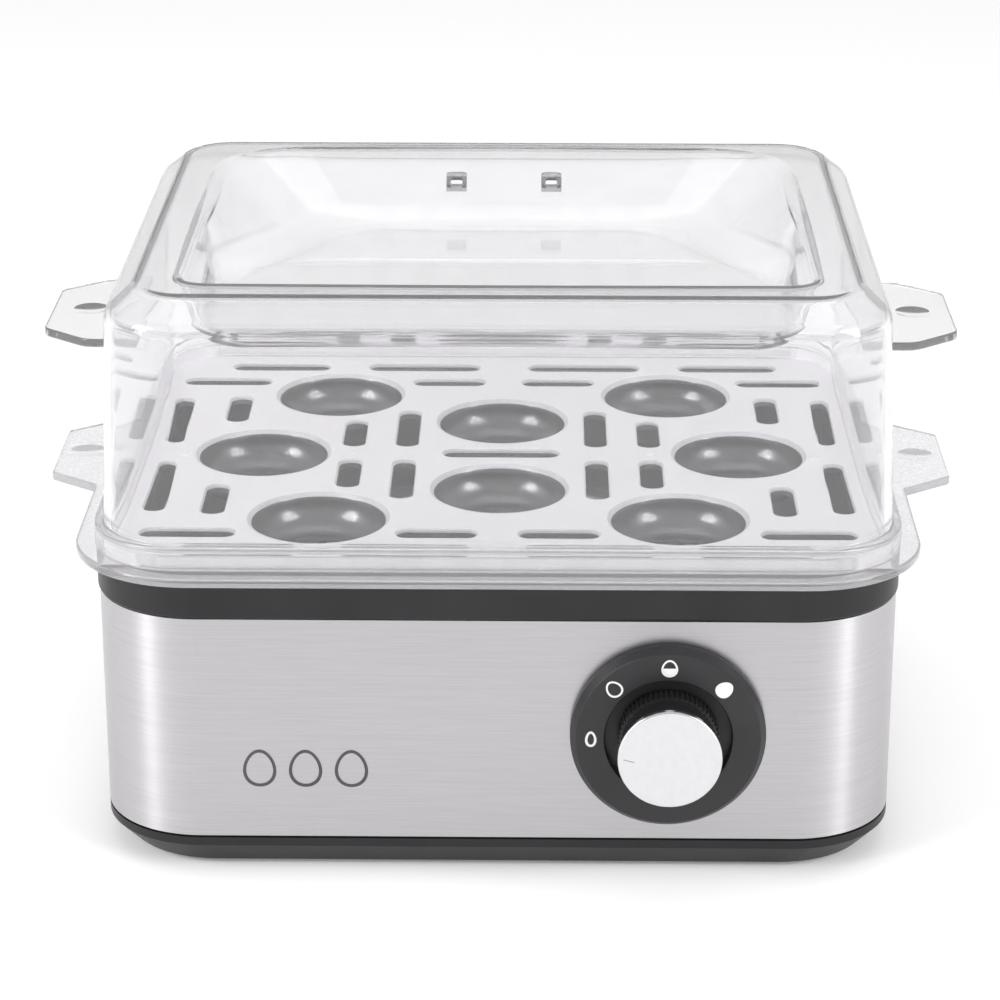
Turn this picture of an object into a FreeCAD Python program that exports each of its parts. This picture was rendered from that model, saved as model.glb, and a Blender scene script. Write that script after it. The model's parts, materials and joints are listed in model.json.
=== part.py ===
import FreeCAD, Part
import math
import os

# Electric egg cooker: a steel-clad base with a water tub and heating plate, a
# lift-out egg tray with eight cups, a lift-off lid and a four-position dial.
# Millimetres. +X to the right, +Y away from the dial, +Z up. The model is drawn
# about the middle of the body and moved in Y at the end, so that the frame's
# origin lies under the middle of the whole object's box.

V = FreeCAD.Vector

# ---------------------------------------------------------------- driving sizes

# body
body_width = 227.6
body_depth = 193.2
body_corner = 29.5
steel_wall = 0.6
foot_drop = 1.7
pan_height = 10.0
steel_height = 66.9
collar_height = 11.7

# fits and small sizes used all over
slip_fit = 0.2
thread_fit = 0.05
running_fit = 0.05
loose_fit = 0.5

# base pan
pan_floor = 2.5
pan_bottom_inset = 5.0
pan_side_band = 3.2
pan_gap_height = 0.7
pan_gap_depth = 0.8
pan_wall = 4.0
upstand_height = 5.0
upstand_wall = 2.0
vent_length = 44.0
vent_width = 3.0
vent_pitch = 12.0
vent_count = 5

# feet
foot_diameter = 15.6
foot_seat_depth = 1.5
foot_inset_x = 25.0
foot_inset_y = 25.0

# screws that join the base pan to the upper housing
post_inset_x = 21.8
post_inset_y = 46.6
post_diameter = 9.0
post_boss_diameter = 11.0
post_boss_height = 8.0
screw_head_diameter = 7.2
screw_head_height = 2.4
screw_diameter = 3.9
screw_bite = 16.0
screw_head_sink = 3.0
drive_width = 3.2
drive_depth = 1.4
drive_blade = 0.8

# upper housing: collar, skirt and water tub
collar_overhang = 0.5
collar_land = 6.8
collar_edge_round = 1.2
skirt_height = 6.0
skirt_wall = 2.0
tub_wall = 2.2
tub_straight = 6.0
tub_depth = 32.3
tub_draft_inset = 4.5
tub_floor = 2.5

# heating plate and what is under it
plate_diameter = 130.0
plate_sheet = 0.8
plate_dish_depth = 3.0
plate_flange_width = 7.0
gasket_thickness = 1.5
gasket_width = 5.0
diffuser_margin = 9.0
diffuser_thickness = 3.0
element_ring_inset = 10.0
element_tube = 6.5
element_leg_x = 14.0
element_leg_bend = 8.0
element_leg_reach = 4.0
element_sink = 1.65
bead_diameter = 4.6
bead_length = 3.0
pin_diameter = 2.4
pin_length = 10.0
stud_diameter = 4.0
stud_length = 6.2
stud_angle = 25.0
clamp_ring_width = 16.0
clamp_ring_thickness = 1.2
clamp_ring_overlap = 8.0
nut_flats = 7.0
nut_height = 3.2

# thermal fuse
fuse_diameter = 4.0
fuse_length = 11.0
fuse_tail = 7.5
fuse_tail_diameter = 1.0
fuse_y = 1.0
sleeve_wall = 0.6
clip_sheet = 0.8
clip_length = 8.0
clip_foot = 9.0
clip_screw_diameter = 3.0
clip_screw_head = 5.4

# dial bezel
dial_x = 48.2
dial_height = 45.0
bezel_diameter = 55.0
bezel_face_diameter = 51.8
bezel_proud = 5.0
bezel_bevel = 2.2
bezel_recess_diameter = 35.7
bezel_recess_depth = 3.5
bezel_core_diameter = 18.0
bezel_spigot_length = 0.4
bezel_screw_offset = 21.0
bezel_screw_diameter = 2.9
bezel_screw_bite = 3.2

# knob
knob_reach = 13.4
knob_gap = 0.5
knob_rib_diameter = 28.4
knob_rib_length = 5.4
knob_rib_count = 60
knob_rib_depth = 0.45
knob_barrel_diameter = 27.2
knob_wall = 2.0
knob_top = 2.0
knob_hub_diameter = 12.0
cap_diameter = 29.0
cap_thickness = 1.6
cap_edge_round = 0.5
cap_plug_diameter = 16.0
cap_plug_length = 0.8
mark_length = 3.2
mark_width = 1.8
mark_depth = 0.25
mark_radius = 11.4

# thermostat
shaft_diameter = 6.0
shaft_flat = 1.5
bush_diameter = 10.0
bush_flange_diameter = 15.0
bush_flange = 1.5
bush_front = 3.3
bush_back = 4.0
bush_nut_flats = 14.0
bush_nut_height = 2.5
circlip_diameter = 9.6
circlip_thickness = 0.7
circlip_gap = 4.0
cam_diameter = 8.0
cam_throw = 1.5
cam_length = 4.0
bracket_width = 54.0
bracket_height = 26.0
bracket_sheet = 1.2
frame_width = 20.0
frame_sheet = 1.2
frame_below = 12.0
frame_above = 8.0
stack_offset = 24.0
stack_diameter = 11.0
leaf_sheet = 0.4
leaf_width = 6.0
leaf_gap = 4.4
stack_base = 4.0
contact_diameter = 3.0
contact_gap = 0.4
leaf_forward = 15.0
upper_leaf_forward = 10.0
tab_reach = 17.0
tab_width = 6.3
bimetal_sheet = 0.8
bimetal_width = 8.0
rivet_diameter = 3.2
rivet_head_diameter = 6.0
rivet_head = 0.9

# terminal block, leads, earth point, rear gland
block_length = 34.0
block_depth = 16.0
block_height = 13.0
block_x = 60.0
block_rear_gap = 34.6
block_pitch = 10.0
block_screw_diameter = 3.4
block_screw_height = 5.0
lead_diameter = 3.0
earth_angle = 120.0
earth_screw_diameter = 3.4
earth_screw_head = 6.4
earth_screw_head_height = 2.2
earth_tag_sheet = 0.8
earth_tag_width = 7.0
earth_tag_reach = 9.0
gland_x = 60.0
gland_height = 25.4
gland_bore = 7.2
gland_neck_diameter = 12.0
gland_flange_diameter = 16.0
gland_flange = 2.4

# egg tray
deck_thickness = 2.7
flange_overhang = 6.05
flange_corner = 34.0
flange_edge_round = 0.8
tray_skirt_height = 4.0
tray_skirt_wall = 1.5
lid_rib_height = 3.5
lid_rib_wall = 1.5
tab_projection = 14.4
tray_tab_root = 29.0
tray_tab_tip = 18.5
tab_corner_round = 2.5
dimple_diameter = 11.0
dimple_depth = 0.8
tray_dimple_inset = 8.5
cup_diameter = 38.6
cup_edge_round = 1.85
cup_depth = 10.5
cup_wall = 1.8
cup_hole_diameter = 24.0
cup_side_x = 72.2
cup_corner_x = 51.9
cup_corner_y = 53.9
cup_middle_y = 29.5
slot_width = 6.8
slot_edge = 0.5
long_slot_web = 4.35
long_slot_y = 22.2
long_slot = 32.6
short_slot_web = 2.45
short_slot_y = 17.6
short_slot = 23.6
corner_slot_x = 83.1
corner_slot_y = 39.7
corner_slot = 24.0
edge_slot_inset = 6.0
edge_slot_y = 29.0
edge_slot = 41.5
centre_slot = 35.0
row_inset = 24.0
row_inner_start = 6.0
row_inner_end = 29.0
row_outer_start = 75.0
row_outer_end = 103.0
front_row_inset = 9.3
front_inner_start = 8.0
front_inner_end = 44.0
front_outer_start = 57.0
front_outer_end = 88.5
dot_diameter = 4.0
dot_height = 0.5
pad_length = 4.0
pad_width = 8.0
pad_height = 0.5

# lid
lid_height = 75.5
lid_wall = 2.0
lip_overhang = 0.2
lip_height = 7.0
lip_step = 2.7
lip_corner = 24.7
lip_ceiling = 1.7
lip_edge_round = 0.9
lid_draft_inset = 2.5
shoulder_drop = 7.0
shoulder_inset = 8.5
shoulder_corner = 21.0
rim_corner = 14.0
rim_width = 12.4
shoulder_round = 1.6
rim_round = 1.0
recess_depth = 19.5
recess_side_inset = 1.8
recess_back_inset = 17.4
recess_front_inset = 4.4
recess_back_half = 50.0
recess_front_half = 82.0
recess_nose_round = 12.0
recess_corner_round = 14.0
recess_front_round = 8.0
recess_mouth_back_round = 28.0
recess_mouth_front_round = 10.0
rim_back_width = 8.2
lid_tab_below_top = 30.0
lid_tab_thickness = 2.6
lid_tab_root = 30.0
lid_tab_tip = 19.0
lid_tab_straight = 12.0
lid_dimple_inset = 11.4
vent_hole_x = 15.0
vent_hole_width = 6.5
vent_hole_height = 5.0
vent_hole_drop = 8.5
vent_hole_reach = 16.0
vent_hole_corner = 1.2

# ------------------------------------------------------------- levels and places

half_width = body_width / 2
half_depth = body_depth / 2
pan_bottom = foot_drop
steel_bottom = pan_bottom + pan_height
steel_top = steel_bottom + steel_height
collar_top = steel_top + collar_height
deck_top = collar_top + deck_thickness
lid_top = deck_top + lid_height
pan_floor_top = pan_bottom + pan_floor

collar_half_x = half_width + collar_overhang
collar_half_y = half_depth + collar_overhang
collar_corner = body_corner + collar_overhang
opening_half_x = collar_half_x - collar_land
opening_half_y = collar_half_y - collar_land
opening_corner = collar_corner - collar_land

tub_floor_top = collar_top - tub_depth
tub_floor_bottom = tub_floor_top - tub_floor

plate_radius = plate_diameter / 2
plate_dish_radius = plate_radius - plate_flange_width
plate_seat = tub_floor_top + gasket_thickness
plate_top = plate_seat + plate_sheet
dish_top = plate_top - plate_dish_depth
dish_bottom = dish_top - plate_sheet
tub_hole_radius = plate_dish_radius + 1.0
clamp_outer = tub_hole_radius + clamp_ring_overlap
clamp_inner = clamp_outer - clamp_ring_width
clamp_bottom = tub_floor_bottom - clamp_ring_thickness
stud_radius = clamp_inner + clamp_ring_width * 0.3
diffuser_radius = clamp_inner - diffuser_margin
diffuser_bottom = dish_bottom - diffuser_thickness
element_ring_radius = diffuser_radius - element_ring_inset
element_leg_end = diffuser_radius + element_leg_reach
element_level = diffuser_bottom + element_sink - element_tube / 2
fuse_level = diffuser_bottom - fuse_diameter / 2 - sleeve_wall

front_face = -half_depth
rear_face = half_depth
block_y = rear_face - block_rear_gap
bezel_face = front_face - bezel_proud
recess_face = bezel_face + bezel_recess_depth
knob_back = recess_face - knob_gap
knob_front = bezel_face - knob_reach
cap_back = knob_front + cap_thickness
steel_inner_front = front_face + steel_wall
bracket_back = steel_inner_front + bracket_sheet
bush_flange_back = bracket_back + bush_flange
frame_back = bush_flange_back + frame_sheet
bush_end = frame_back + bush_back
shaft_front = cap_back + knob_top + loose_fit
cam_front = bush_end + slip_fit + circlip_thickness + loose_fit
cam_back = cam_front + cam_length
stack_y = frame_back + stack_offset
stack_bottom = dial_height - frame_below + frame_sheet
lower_leaf_level = stack_bottom + stack_base
upper_leaf_level = lower_leaf_level + leaf_sheet + leaf_gap
bimetal_level = clamp_bottom - bimetal_sheet
bimetal_tip = -math.sqrt((clamp_outer - 5.0) ** 2 - dial_x ** 2) + 4.0

lip_half_x = half_width + lip_overhang
lip_half_y = half_depth + lip_overhang
lip_top = deck_top + lip_height
wall_half_x = lip_half_x - lip_step
wall_half_y = lip_half_y - lip_step
wall_corner = lip_corner - lip_step
shoulder_half_x = wall_half_x - lid_draft_inset
shoulder_half_y = wall_half_y - lid_draft_inset
shoulder_level = lid_top - shoulder_drop
rim_half_x = shoulder_half_x - shoulder_inset
rim_half_y = shoulder_half_y - shoulder_inset
recess_half_x = rim_half_x - rim_width
recess_half_y = rim_half_y - rim_width
recess_back_y = rim_half_y - rim_back_width
recess_level = lid_top - recess_depth

flange_half_x = half_width + flange_overhang
flange_half_y = half_depth + flange_overhang
tab_end_x = flange_half_x + tab_projection

cup_mouth = cup_diameter / 2 + cup_edge_round
long_slot_x = cup_mouth + long_slot_web + slot_width / 2
short_slot_x = cup_side_x - cup_mouth - short_slot_web - slot_width / 2

# the whole object reaches from the knob's face to the back of the tray's flange
frame_shift = V(0, -(flange_half_y + knob_front) / 2, 0)

# ------------------------------------------------------------------ shape helpers


def rounded_wire(half_x, half_y, corner, z):
    """A closed rounded rectangle about the Z axis at height z."""
    inner_x = half_x - corner
    inner_y = half_y - corner
    slant = corner * math.sqrt(0.5)
    edges = []
    turns = ((1, 1), (-1, 1), (-1, -1), (1, -1))
    for sx, sy in turns:
        along_x = V(sx * half_x, sy * inner_y, z)
        along_y = V(sx * inner_x, sy * half_y, z)
        middle = V(sx * (inner_x + slant), sy * (inner_y + slant), z)
        start, end = (along_x, along_y) if sx == sy else (along_y, along_x)
        edges.append(Part.Arc(start, middle, end).toShape())
    lines = []
    for here, there in zip(edges, edges[1:] + edges[:1]):
        lines.append(Part.LineSegment(here.lastVertex().Point, there.firstVertex().Point).toShape())
    ordered = [edge for pair in zip(edges, lines) for edge in pair]
    return Part.Wire(ordered)


def slab(half_x, half_y, corner, low, high):
    """A rounded rectangle raised from low to high."""
    return Part.Face(rounded_wire(half_x, half_y, corner, low)).extrude(V(0, 0, high - low))


def taper(low, high):
    """A straight-sided solid between two rounded rectangles (half_x, half_y, corner, z)."""
    return Part.makeLoft([rounded_wire(*low), rounded_wire(*high)], True, True)


def post(diameter, low, high, x=0.0, y=0.0):
    return Part.makeCylinder(diameter / 2, high - low, V(x, y, low))


def rod(diameter, front, back, x=dial_x, z=dial_height):
    """A cylinder along Y from front to back."""
    return Part.makeCylinder(diameter / 2, back - front, V(x, front, z), V(0, 1, 0))


def block(low_x, high_x, low_y, high_y, low_z, high_z):
    return Part.makeBox(high_x - low_x, high_y - low_y, high_z - low_z, V(low_x, low_y, low_z))


def hex_nut(flats, height, x, y, z, direction):
    """A hexagonal prism that starts at (x, y, z)."""
    corner = flats / math.sqrt(3)
    if direction.z:
        ring = [
            V(corner * math.cos(k * math.pi / 3), corner * math.sin(k * math.pi / 3), 0) for k in range(6)
        ]
    else:
        ring = [
            V(corner * math.cos(k * math.pi / 3), 0, corner * math.sin(k * math.pi / 3)) for k in range(6)
        ]
    face = Part.Face(Part.makePolygon(ring + ring[:1]))
    face.translate(V(x, y, z))
    return face.extrude(direction * height)


def outline(points, rounds):
    """A closed wire through points, each corner rounded by its own radius."""
    count = len(points)
    edges = []
    ends = []
    for k, corner in enumerate(points):
        to_last = (points[k - 1] - corner).normalize()
        to_next = (points[(k + 1) % count] - corner).normalize()
        half_open = to_last.getAngle(to_next) / 2
        reach = rounds[k] / math.tan(half_open)
        bisector = (to_last + to_next).normalize()
        middle = corner + bisector * (rounds[k] / math.sin(half_open) - rounds[k])
        ends.append((corner + to_last * reach, middle, corner + to_next * reach))
    for k, (start, middle, end) in enumerate(ends):
        edges.append(Part.Arc(start, middle, end).toShape())
        edges.append(Part.LineSegment(end, ends[(k + 1) % count][0]).toShape())
    return Part.Wire(edges)


def level_edges(shape, z):
    """The edges of shape that lie flat at height z."""
    box_of = [(edge, edge.BoundBox) for edge in shape.Edges]
    return [edge for edge, box in box_of if abs(box.ZMin - z) < 0.001 and abs(box.ZMax - z) < 0.001]


def quarters(x, y):
    """The four mirrored places of (x, y)."""
    return [(sx * x, sy * y) for sx in (1, -1) for sy in (1, -1)]


def lead(points, diameter=lead_diameter):
    """A round lead along straight runs that are joined by tangent arcs."""
    share = 0.45
    edges = []
    start = points[0]
    for before, corner, after in zip(points, points[1:], points[2:]):
        reach = share * min((before - corner).Length, (after - corner).Length)
        back = (before - corner).normalize()
        ahead = (after - corner).normalize()
        half_turn = (math.pi - back.getAngle(ahead)) / 2
        radius = reach / math.tan(half_turn)
        inside = (back + ahead).normalize()
        middle = corner + inside * (math.hypot(radius, reach) - radius)
        edges.append(Part.LineSegment(start, corner + back * reach).toShape())
        edges.append(Part.Arc(corner + back * reach, middle, corner + ahead * reach).toShape())
        start = corner + ahead * reach
    edges.append(Part.LineSegment(start, points[-1]).toShape())
    first_run = points[1] - points[0]
    ring = Part.Wire(Part.makeCircle(diameter / 2, points[0], first_run))
    return Part.Wire(edges).makePipeShell([ring], True, False)


# ---------------------------------------------------------------------- base pan

post_x = half_width - post_inset_x
post_y = half_depth - post_inset_y
post_bottom = pan_floor_top + post_boss_height
foot_x = half_width - foot_inset_x
foot_y = half_depth - foot_inset_y
foot_top = pan_bottom + foot_seat_depth
head_seat = pan_bottom + screw_head_sink + screw_head_height


def make_base_pan():
    band_bottom = steel_bottom - pan_side_band
    gap_bottom = steel_bottom - pan_gap_height
    low = half_width - pan_bottom_inset, half_depth - pan_bottom_inset, body_corner - 1.5, pan_bottom
    side = half_width, half_depth, body_corner, band_bottom
    body = taper(low, side)
    body = body.fuse(slab(half_width, half_depth, body_corner, band_bottom, gap_bottom))
    inset = pan_gap_depth
    body = body.fuse(
        slab(half_width - inset, half_depth - inset, body_corner - inset, gap_bottom, steel_bottom)
    )
    rise = steel_wall + slip_fit
    upstand_top = steel_bottom + upstand_height
    body = body.fuse(
        slab(half_width - rise, half_depth - rise, body_corner - rise, gap_bottom, upstand_top)
    )
    inner = rise + upstand_wall
    floor_inset = pan_bottom_inset + pan_wall
    floor = half_width - floor_inset, half_depth - floor_inset, body_corner - floor_inset / 2, pan_floor_top
    mouth = half_width - inner, half_depth - inner, body_corner - inner, steel_bottom
    body = body.cut(taper(floor, mouth))
    body = body.cut(
        slab(half_width - inner, half_depth - inner, body_corner - inner, steel_bottom, upstand_top)
    )
    for x, y in quarters(post_x, post_y):
        body = body.fuse(post(post_boss_diameter, pan_floor_top - 1.0, post_bottom, x, y))
        body = body.cut(post(screw_head_diameter + 2 * slip_fit, pan_bottom, head_seat, x, y))
        body = body.cut(post(screw_diameter + 2 * slip_fit, head_seat, post_bottom, x, y))
    for x, y in quarters(foot_x, foot_y):
        body = body.cut(post(foot_diameter + 2 * slip_fit, pan_bottom, foot_top, x, y))
    for row in range(vent_count):
        y = (row - (vent_count - 1) / 2) * vent_pitch
        vent = slab(vent_length / 2, vent_width / 2, vent_width / 2 - 0.01, pan_bottom, pan_floor_top)
        vent.translate(V(0, y, 0))
        body = body.cut(vent)
    return body.removeSplitter()


def make_rubber_feet():
    feet = []
    for x, y in quarters(foot_x, foot_y):
        foot = post(foot_diameter, 0, foot_top, x, y)
        feet.append(foot.makeFillet(0.8, level_edges(foot, 0)))
    return Part.makeCompound(feet)


def make_housing_screws():
    screws = []
    for x, y in quarters(post_x, post_y):
        head_bottom = head_seat - screw_head_height
        head = post(screw_head_diameter, head_bottom, head_seat, x, y)
        shank = post(screw_diameter, head_seat, post_bottom + screw_bite, x, y)
        half, blade = drive_width / 2, drive_blade / 2
        recess = block(x - half, x + half, y - blade, y + blade, head_bottom, head_bottom + drive_depth)
        cross = block(x - blade, x + blade, y - half, y + half, head_bottom, head_bottom + drive_depth)
        screws.append(head.fuse(shank).cut(recess.fuse(cross)))
    return Part.makeCompound(screws)


# ------------------------------------------------------- steel shell and housing


def make_steel_shell():
    inner = steel_wall
    shell = slab(half_width, half_depth, body_corner, steel_bottom, steel_top)
    shell = shell.cut(
        slab(half_width - inner, half_depth - inner, body_corner - inner, steel_bottom, steel_top)
    )
    shell = shell.cut(
        rod(bezel_core_diameter + 2 * bezel_spigot_length, front_face - 1, steel_inner_front + 1)
    )
    for side in (-1, 1):
        hole = bezel_screw_diameter + 2 * slip_fit
        shell = shell.cut(
            rod(hole, front_face - 1, steel_inner_front + 1, dial_x + side * bezel_screw_offset)
        )
    gland_hole = gland_neck_diameter + 2 * thread_fit
    return shell.cut(rod(gland_hole, rear_face - steel_wall - 1, rear_face + 1, gland_x, gland_height))


def make_upper_housing():
    collar = slab(collar_half_x, collar_half_y, collar_corner, steel_top, collar_top)
    collar = collar.makeFillet(collar_edge_round, level_edges(collar, steel_top))
    fit = steel_wall + slip_fit
    skirt_bottom = steel_top - skirt_height
    skirt = slab(half_width - fit, half_depth - fit, body_corner - fit, skirt_bottom, steel_top + 1)
    hollow = fit + skirt_wall
    skirt_hollow = slab(
        half_width - hollow, half_depth - hollow, body_corner - hollow, skirt_bottom, steel_top
    )
    body = collar.fuse(skirt.cut(skirt_hollow))
    bend = collar_top - tub_straight
    foot_half_x = opening_half_x - tub_draft_inset
    foot_half_y = opening_half_y - tub_draft_inset
    foot_corner = opening_corner - tub_draft_inset
    wall = tub_wall
    outside = taper(
        (foot_half_x + wall, foot_half_y + wall, foot_corner + wall, tub_floor_bottom),
        (opening_half_x + wall, opening_half_y + wall, opening_corner + wall, bend),
    )
    inside = taper(
        (foot_half_x, foot_half_y, foot_corner, tub_floor_top),
        (opening_half_x, opening_half_y, opening_corner, bend),
    )
    body = body.fuse(outside).cut(inside)
    body = body.cut(slab(opening_half_x, opening_half_y, opening_corner, bend, collar_top))
    body = body.cut(post(2 * tub_hole_radius, tub_floor_bottom, tub_floor_top))
    for x, y in quarters(post_x, post_y):
        leg = post(post_diameter, post_bottom, tub_floor_bottom + 1, x, y)
        pilot = post(screw_diameter + 2 * thread_fit, post_bottom, post_bottom + screw_bite + 2, x, y)
        body = body.fuse(leg).cut(pilot)
    return body.removeSplitter()


# ------------------------------------------------------------------ heating plate

stud_places = [
    (stud_radius * math.cos(math.radians(a)), stud_radius * math.sin(math.radians(a)))
    for a in (stud_angle, 180 - stud_angle, 180 + stud_angle, -stud_angle)
]
earth_radius = clamp_inner + 4.5
earth_x = earth_radius * math.cos(math.radians(earth_angle))
earth_y = earth_radius * math.sin(math.radians(earth_angle))


def make_heating_plate():
    outside = post(plate_diameter, plate_seat, plate_top).fuse(
        post(2 * plate_dish_radius, dish_bottom, plate_seat)
    )
    hollow_diameter = 2 * (plate_dish_radius - plate_sheet)
    plate = outside.cut(post(hollow_diameter, dish_top, plate_top))
    for x, y in stud_places:
        plate = plate.fuse(post(stud_diameter, dish_bottom - stud_length, dish_bottom, x, y))
    plate = plate.removeSplitter()
    rims = [edge for edge in level_edges(plate, plate_top) if edge.Length < math.pi * hollow_diameter + 1]
    return plate.makeFillet(plate_sheet, rims)


def make_plate_gasket():
    outer = plate_diameter - 1.0
    ring = post(outer, tub_floor_top, plate_seat)
    return ring.cut(post(outer - 2 * gasket_width, tub_floor_top, plate_seat))


def element_path(leg_end):
    """The heating element's centre line: a nearly closed ring with two straight legs."""
    level = element_level
    ring = element_ring_radius
    bend = element_leg_bend
    leg = element_leg_x
    bend_x = leg + bend
    bend_y = -math.sqrt((ring + bend) ** 2 - bend_x ** 2)
    share = ring / (ring + bend)
    edges = []
    join = V(bend_x * share, bend_y * share, level)
    away = math.atan2(-bend_y, -bend_x)
    half_way = (away + math.pi) / 2
    elbow = V(bend_x + bend * math.cos(half_way), bend_y + bend * math.sin(half_way), level)
    edges.append(Part.LineSegment(V(leg, leg_end, level), V(leg, bend_y, level)).toShape())
    edges.append(Part.Arc(V(leg, bend_y, level), elbow, join).toShape())
    other = V(-join.x, join.y, level)
    edges.append(Part.Arc(join, V(0, ring, level), other).toShape())
    edges.append(Part.Arc(other, V(-elbow.x, elbow.y, level), V(-leg, bend_y, level)).toShape())
    edges.append(Part.LineSegment(V(-leg, bend_y, level), V(-leg, leg_end, level)).toShape())
    return Part.Wire(edges)


def element_sweep(diameter, leg_end):
    ring = Part.Wire(Part.makeCircle(diameter / 2, V(element_leg_x, leg_end, element_level), V(0, 1, 0)))
    return element_path(leg_end).makePipeShell([ring], True, False)


def make_heating_element():
    return element_sweep(element_tube, -element_leg_end)


def make_diffuser_plate():
    disc = post(2 * diffuser_radius, diffuser_bottom, dish_bottom)
    groove = element_sweep(element_tube + 2 * thread_fit, -element_leg_end)
    disc = disc.cut(groove)
    hole = post(clip_screw_diameter + 2 * thread_fit, diffuser_bottom, dish_bottom - 0.5, clip_foot, fuse_y)
    return disc.cut(hole)


def make_element_pins():
    pins = []
    for side in (-1, 1):
        end = -element_leg_end
        pins.append(rod(pin_diameter, end - pin_length, end, side * element_leg_x, element_level))
    return Part.makeCompound(pins)


def make_element_beads():
    beads = []
    for side in (-1, 1):
        end = -element_leg_end
        bead = rod(bead_diameter, end - bead_length, end, side * element_leg_x, element_level)
        bore = rod(
            pin_diameter + 2 * thread_fit, end - bead_length, end, side * element_leg_x, element_level
        )
        beads.append(bead.cut(bore))
    return Part.makeCompound(beads)


def make_clamp_ring():
    ring = post(2 * clamp_outer, clamp_bottom, tub_floor_bottom)
    ring = ring.cut(post(2 * clamp_inner, clamp_bottom, tub_floor_bottom))
    for x, y in stud_places:
        ring = ring.cut(post(stud_diameter + 2 * slip_fit, clamp_bottom, tub_floor_bottom, x, y))
    return ring.cut(
        post(earth_screw_diameter + 2 * thread_fit, clamp_bottom, tub_floor_bottom, earth_x, earth_y)
    )


def make_clamp_nuts():
    nuts = []
    for x, y in stud_places:
        nut = hex_nut(nut_flats, nut_height, x, y, clamp_bottom, V(0, 0, -1))
        nuts.append(
            nut.cut(post(stud_diameter + 2 * thread_fit, clamp_bottom - nut_height, clamp_bottom, x, y))
        )
    return Part.makeCompound(nuts)


# ------------------------------------------------------------------- thermal fuse

fuse_front = fuse_y - fuse_length / 2 - fuse_tail
fuse_back = fuse_y + fuse_length / 2 + fuse_tail
sleeve_diameter = fuse_diameter + 2 * sleeve_wall


def make_thermal_fuse():
    can = rod(fuse_diameter, fuse_y - fuse_length / 2, fuse_y + fuse_length / 2, 0, fuse_level)
    return can.fuse(rod(fuse_tail_diameter, fuse_front, fuse_back, 0, fuse_level))


def make_fuse_sleeve():
    bore = fuse_diameter + 2 * thread_fit
    sleeve = rod(sleeve_diameter, fuse_front, fuse_back, 0, fuse_level)
    return sleeve.cut(rod(bore, fuse_front, fuse_back, 0, fuse_level))


def make_fuse_clip():
    low_y = fuse_y - clip_length / 2
    high_y = fuse_y + clip_length / 2
    inner = sleeve_diameter / 2 + thread_fit
    outer = inner + clip_sheet
    band = rod(2 * outer, low_y, high_y, 0, fuse_level)
    band = band.cut(block(-outer, outer, low_y, high_y, fuse_level, fuse_level + outer))
    band = band.fuse(block(-outer, outer, low_y, high_y, fuse_level, diffuser_bottom))
    foot_end = clip_foot + clip_screw_head / 2 + 0.8
    band = band.fuse(block(0, foot_end, low_y, high_y, diffuser_bottom - clip_sheet, diffuser_bottom))
    band = band.cut(rod(2 * inner, low_y, high_y, 0, fuse_level))
    band = band.cut(block(-inner, inner, low_y, high_y, fuse_level, diffuser_bottom))
    screw_hole = clip_screw_diameter + 2 * slip_fit
    band = band.cut(post(screw_hole, diffuser_bottom - clip_sheet, diffuser_bottom, clip_foot, fuse_y))
    return band.removeSplitter()


def make_fuse_screw():
    seat = diffuser_bottom - clip_sheet
    shank = post(clip_screw_diameter, seat, dish_bottom - 0.8, clip_foot, fuse_y)
    return shank.fuse(post(clip_screw_head, seat - 1.8, seat, clip_foot, fuse_y))


# --------------------------------------------------------------------- dial bezel


def make_dial_bezel():
    bevel = (bezel_diameter - bezel_face_diameter) / 2
    back = rod(bezel_diameter, bezel_face + bezel_bevel, front_face)
    centre = V(dial_x, bezel_face, dial_height)
    cone = Part.makeCone(bezel_face_diameter / 2, bezel_diameter / 2, bezel_bevel, centre, V(0, 1, 0))
    disc = back.fuse(cone)
    disc = disc.cut(rod(bezel_recess_diameter, bezel_face, recess_face))
    disc = disc.fuse(rod(bezel_core_diameter, recess_face + 0.2, steel_inner_front))
    disc = disc.cut(rod(bush_nut_flats + 3.0, bezel_face, steel_inner_front))
    for side in (-1, 1):
        hole = bezel_screw_diameter + 2 * thread_fit
        bite = front_face - bezel_screw_bite - 0.4
        disc = disc.cut(rod(hole, bite, front_face, dial_x + side * bezel_screw_offset))
    disc = disc.removeSplitter()
    rim = [edge for edge in disc.Edges if abs(
        edge.BoundBox.YMin - bezel_face
    ) < 0.001 and edge.BoundBox.YLength < 0.001]
    return disc.makeFillet(0.35, rim) if bevel > 0.4 else disc


def make_bracket_screws():
    screws = []
    for side in (-1, 1):
        x = dial_x + side * bezel_screw_offset
        shank = rod(bezel_screw_diameter, front_face - bezel_screw_bite, bracket_back, x)
        screws.append(shank.fuse(rod(bezel_screw_diameter * 1.9, bracket_back, bracket_back + 1.9, x)))
    return Part.makeCompound(screws)


# --------------------------------------------------------------------------- knob


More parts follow.
